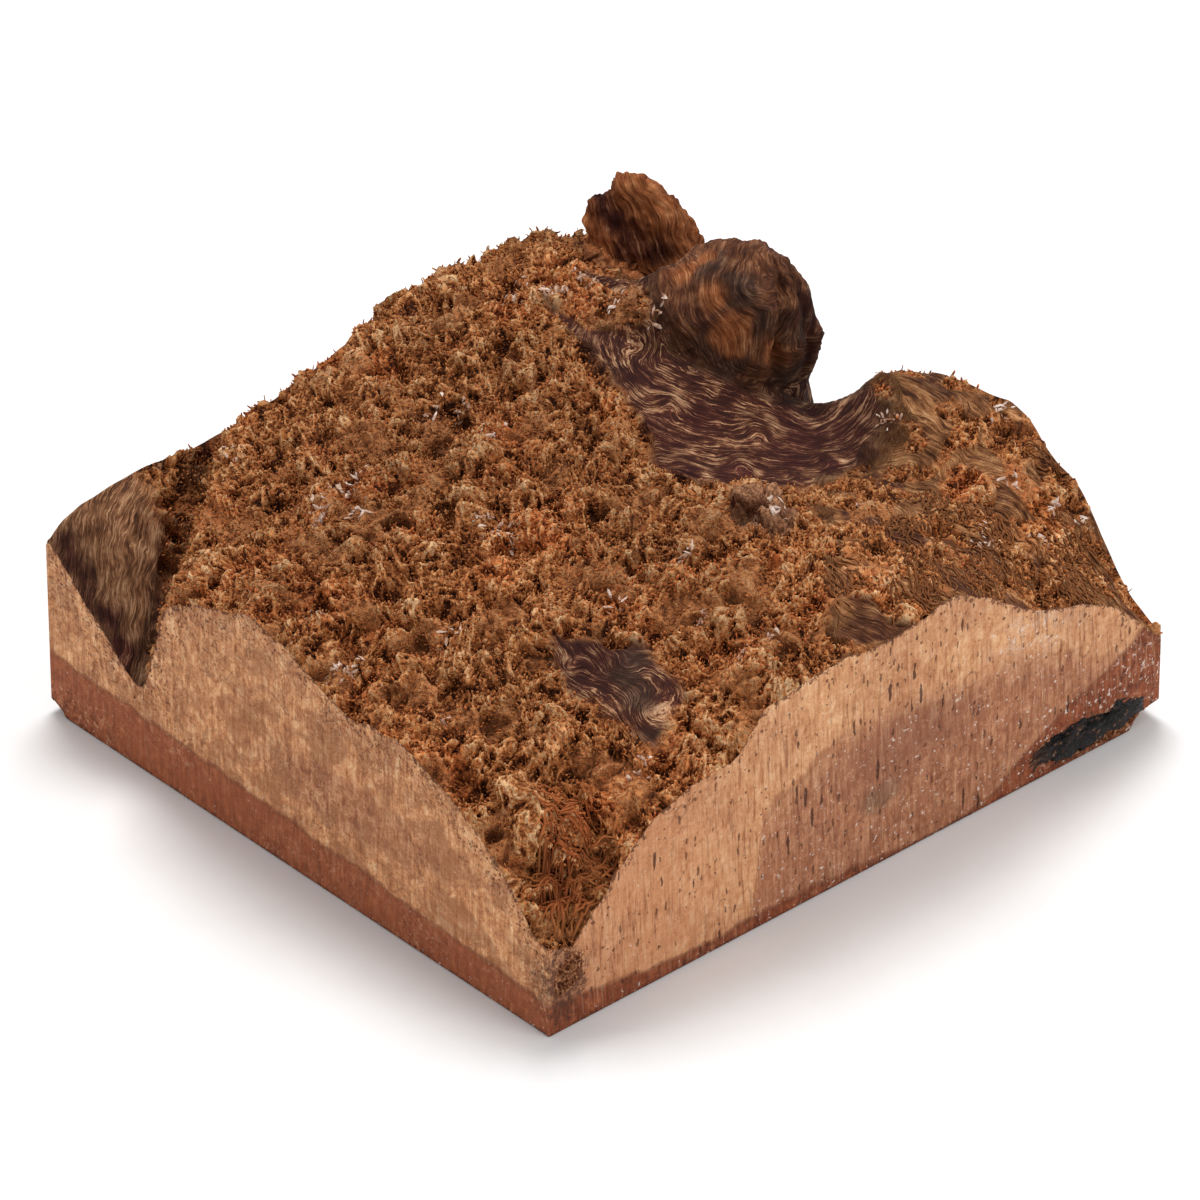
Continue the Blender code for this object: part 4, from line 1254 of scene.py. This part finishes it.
curl_places[:, :2] = np.clip(curl_places[:, :2], -0.8, [LENGTH, WIDTH])
curl_mesh = new_mesh("curls", curl_places, np.array(curl_faces), [True] * len(curl_faces))
set_attribute(curl_mesh, "tip", 0.35 + 0.5 * np.array(curl_tips))
set_attribute(curl_mesh, "own", np.repeat(curl_random.uniform(0, 1, len(curl_tips) // 4), 4))
# The curls take one even, fairly low share of the painted light and shade.
set_attribute(curl_mesh, "high", np.full(len(curl_tips), 0.3))
set_attribute(curl_mesh, "olive", curl_olive)
curl_mesh.materials.append(pin_finish)
curls = as_piece("curls", curl_mesh)
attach(curls, "root")


# The floor, the light and the camera: a plain pale studio, seen as the photograph sees it.
FLOOR_SIDE = 20
floor_mesh = bpy.data.meshes.new("floor")
half = FLOOR_SIDE / 2
floor_corners = [(-half, -half, 0), (half, -half, 0), (half, half, 0), (-half, half, 0)]
floor_mesh.from_pydata(floor_corners, [], [(0, 1, 2, 3)])
floor_finish, tree, shader = new_material("floor", 0.9, 0.1)
where = put(tree, "ShaderNodeTexCoord").outputs["Object"]
faint = between(tree, cloud(tree, where, 40.0), 0.3, 0.7, 0.985, 1.0)
pale_grey = put(tree, "ShaderNodeVectorMath", {0: (0.93, 0.93, 0.93), 3: faint}, operation="SCALE")
tree.links.new(pale_grey.outputs[0], shader.inputs["Base Color"])
floor_mesh.materials.append(floor_finish)
floor = as_piece("floor", floor_mesh)
floor.location.z = -0.0005

world = bpy.data.worlds.new("studio")
world.use_nodes = True
world.node_tree.nodes["Background"].inputs[0].default_value = (1, 1, 1, 1)
world.node_tree.nodes["Background"].inputs[1].default_value = 0.46
bpy.context.scene.world = world


def lamp(name, place, size, power):
    """A soft square light that looks at the block."""
    data = bpy.data.lights.new(name, "AREA")
    data.size = size
    data.energy = power
    made = bpy.data.objects.new(name, data)
    made.location = place
    made.rotation_euler = (Vector((0, 0, 0.08)) - Vector(place)).to_track_quat("-Z", "Y").to_euler()
    bpy.context.scene.collection.objects.link(made)


lamp("key", (0.68, 1.0, 2.7), 1.45, 67)
lamp("fill", (0.7, -2.7, 1.7), 1.5, 25)
lamp("side", (-2.6, -0.7, 1.4), 1.2, 8)

AZIMUTH = math.radians(-41.964)
ELEVATION = math.radians(33.503)
DISTANCE = 4.8623
AIM_HEIGHT = 0.08
back = Vector((math.sin(AZIMUTH) * math.cos(ELEVATION), -math.cos(AZIMUTH) * math.cos(ELEVATION), math.sin(ELEVATION)))
right = Vector((math.cos(AZIMUTH), math.sin(AZIMUTH), 0))
above = back.cross(right)
view = bpy.data.cameras.new("camera")
view.sensor_width = 36
view.lens = 300
view.clip_end = 100
camera = bpy.data.objects.new("camera", view)
camera.location = Vector((0, 0, AIM_HEIGHT)) + back * DISTANCE
looking = -back - 0.000475 * right - 0.0023963 * above
camera.rotation_euler = looking.to_track_quat("-Z", "Y").to_euler()
bpy.context.scene.collection.objects.link(camera)
bpy.context.scene.camera = camera
bpy.context.scene.view_settings.view_transform = "Standard"
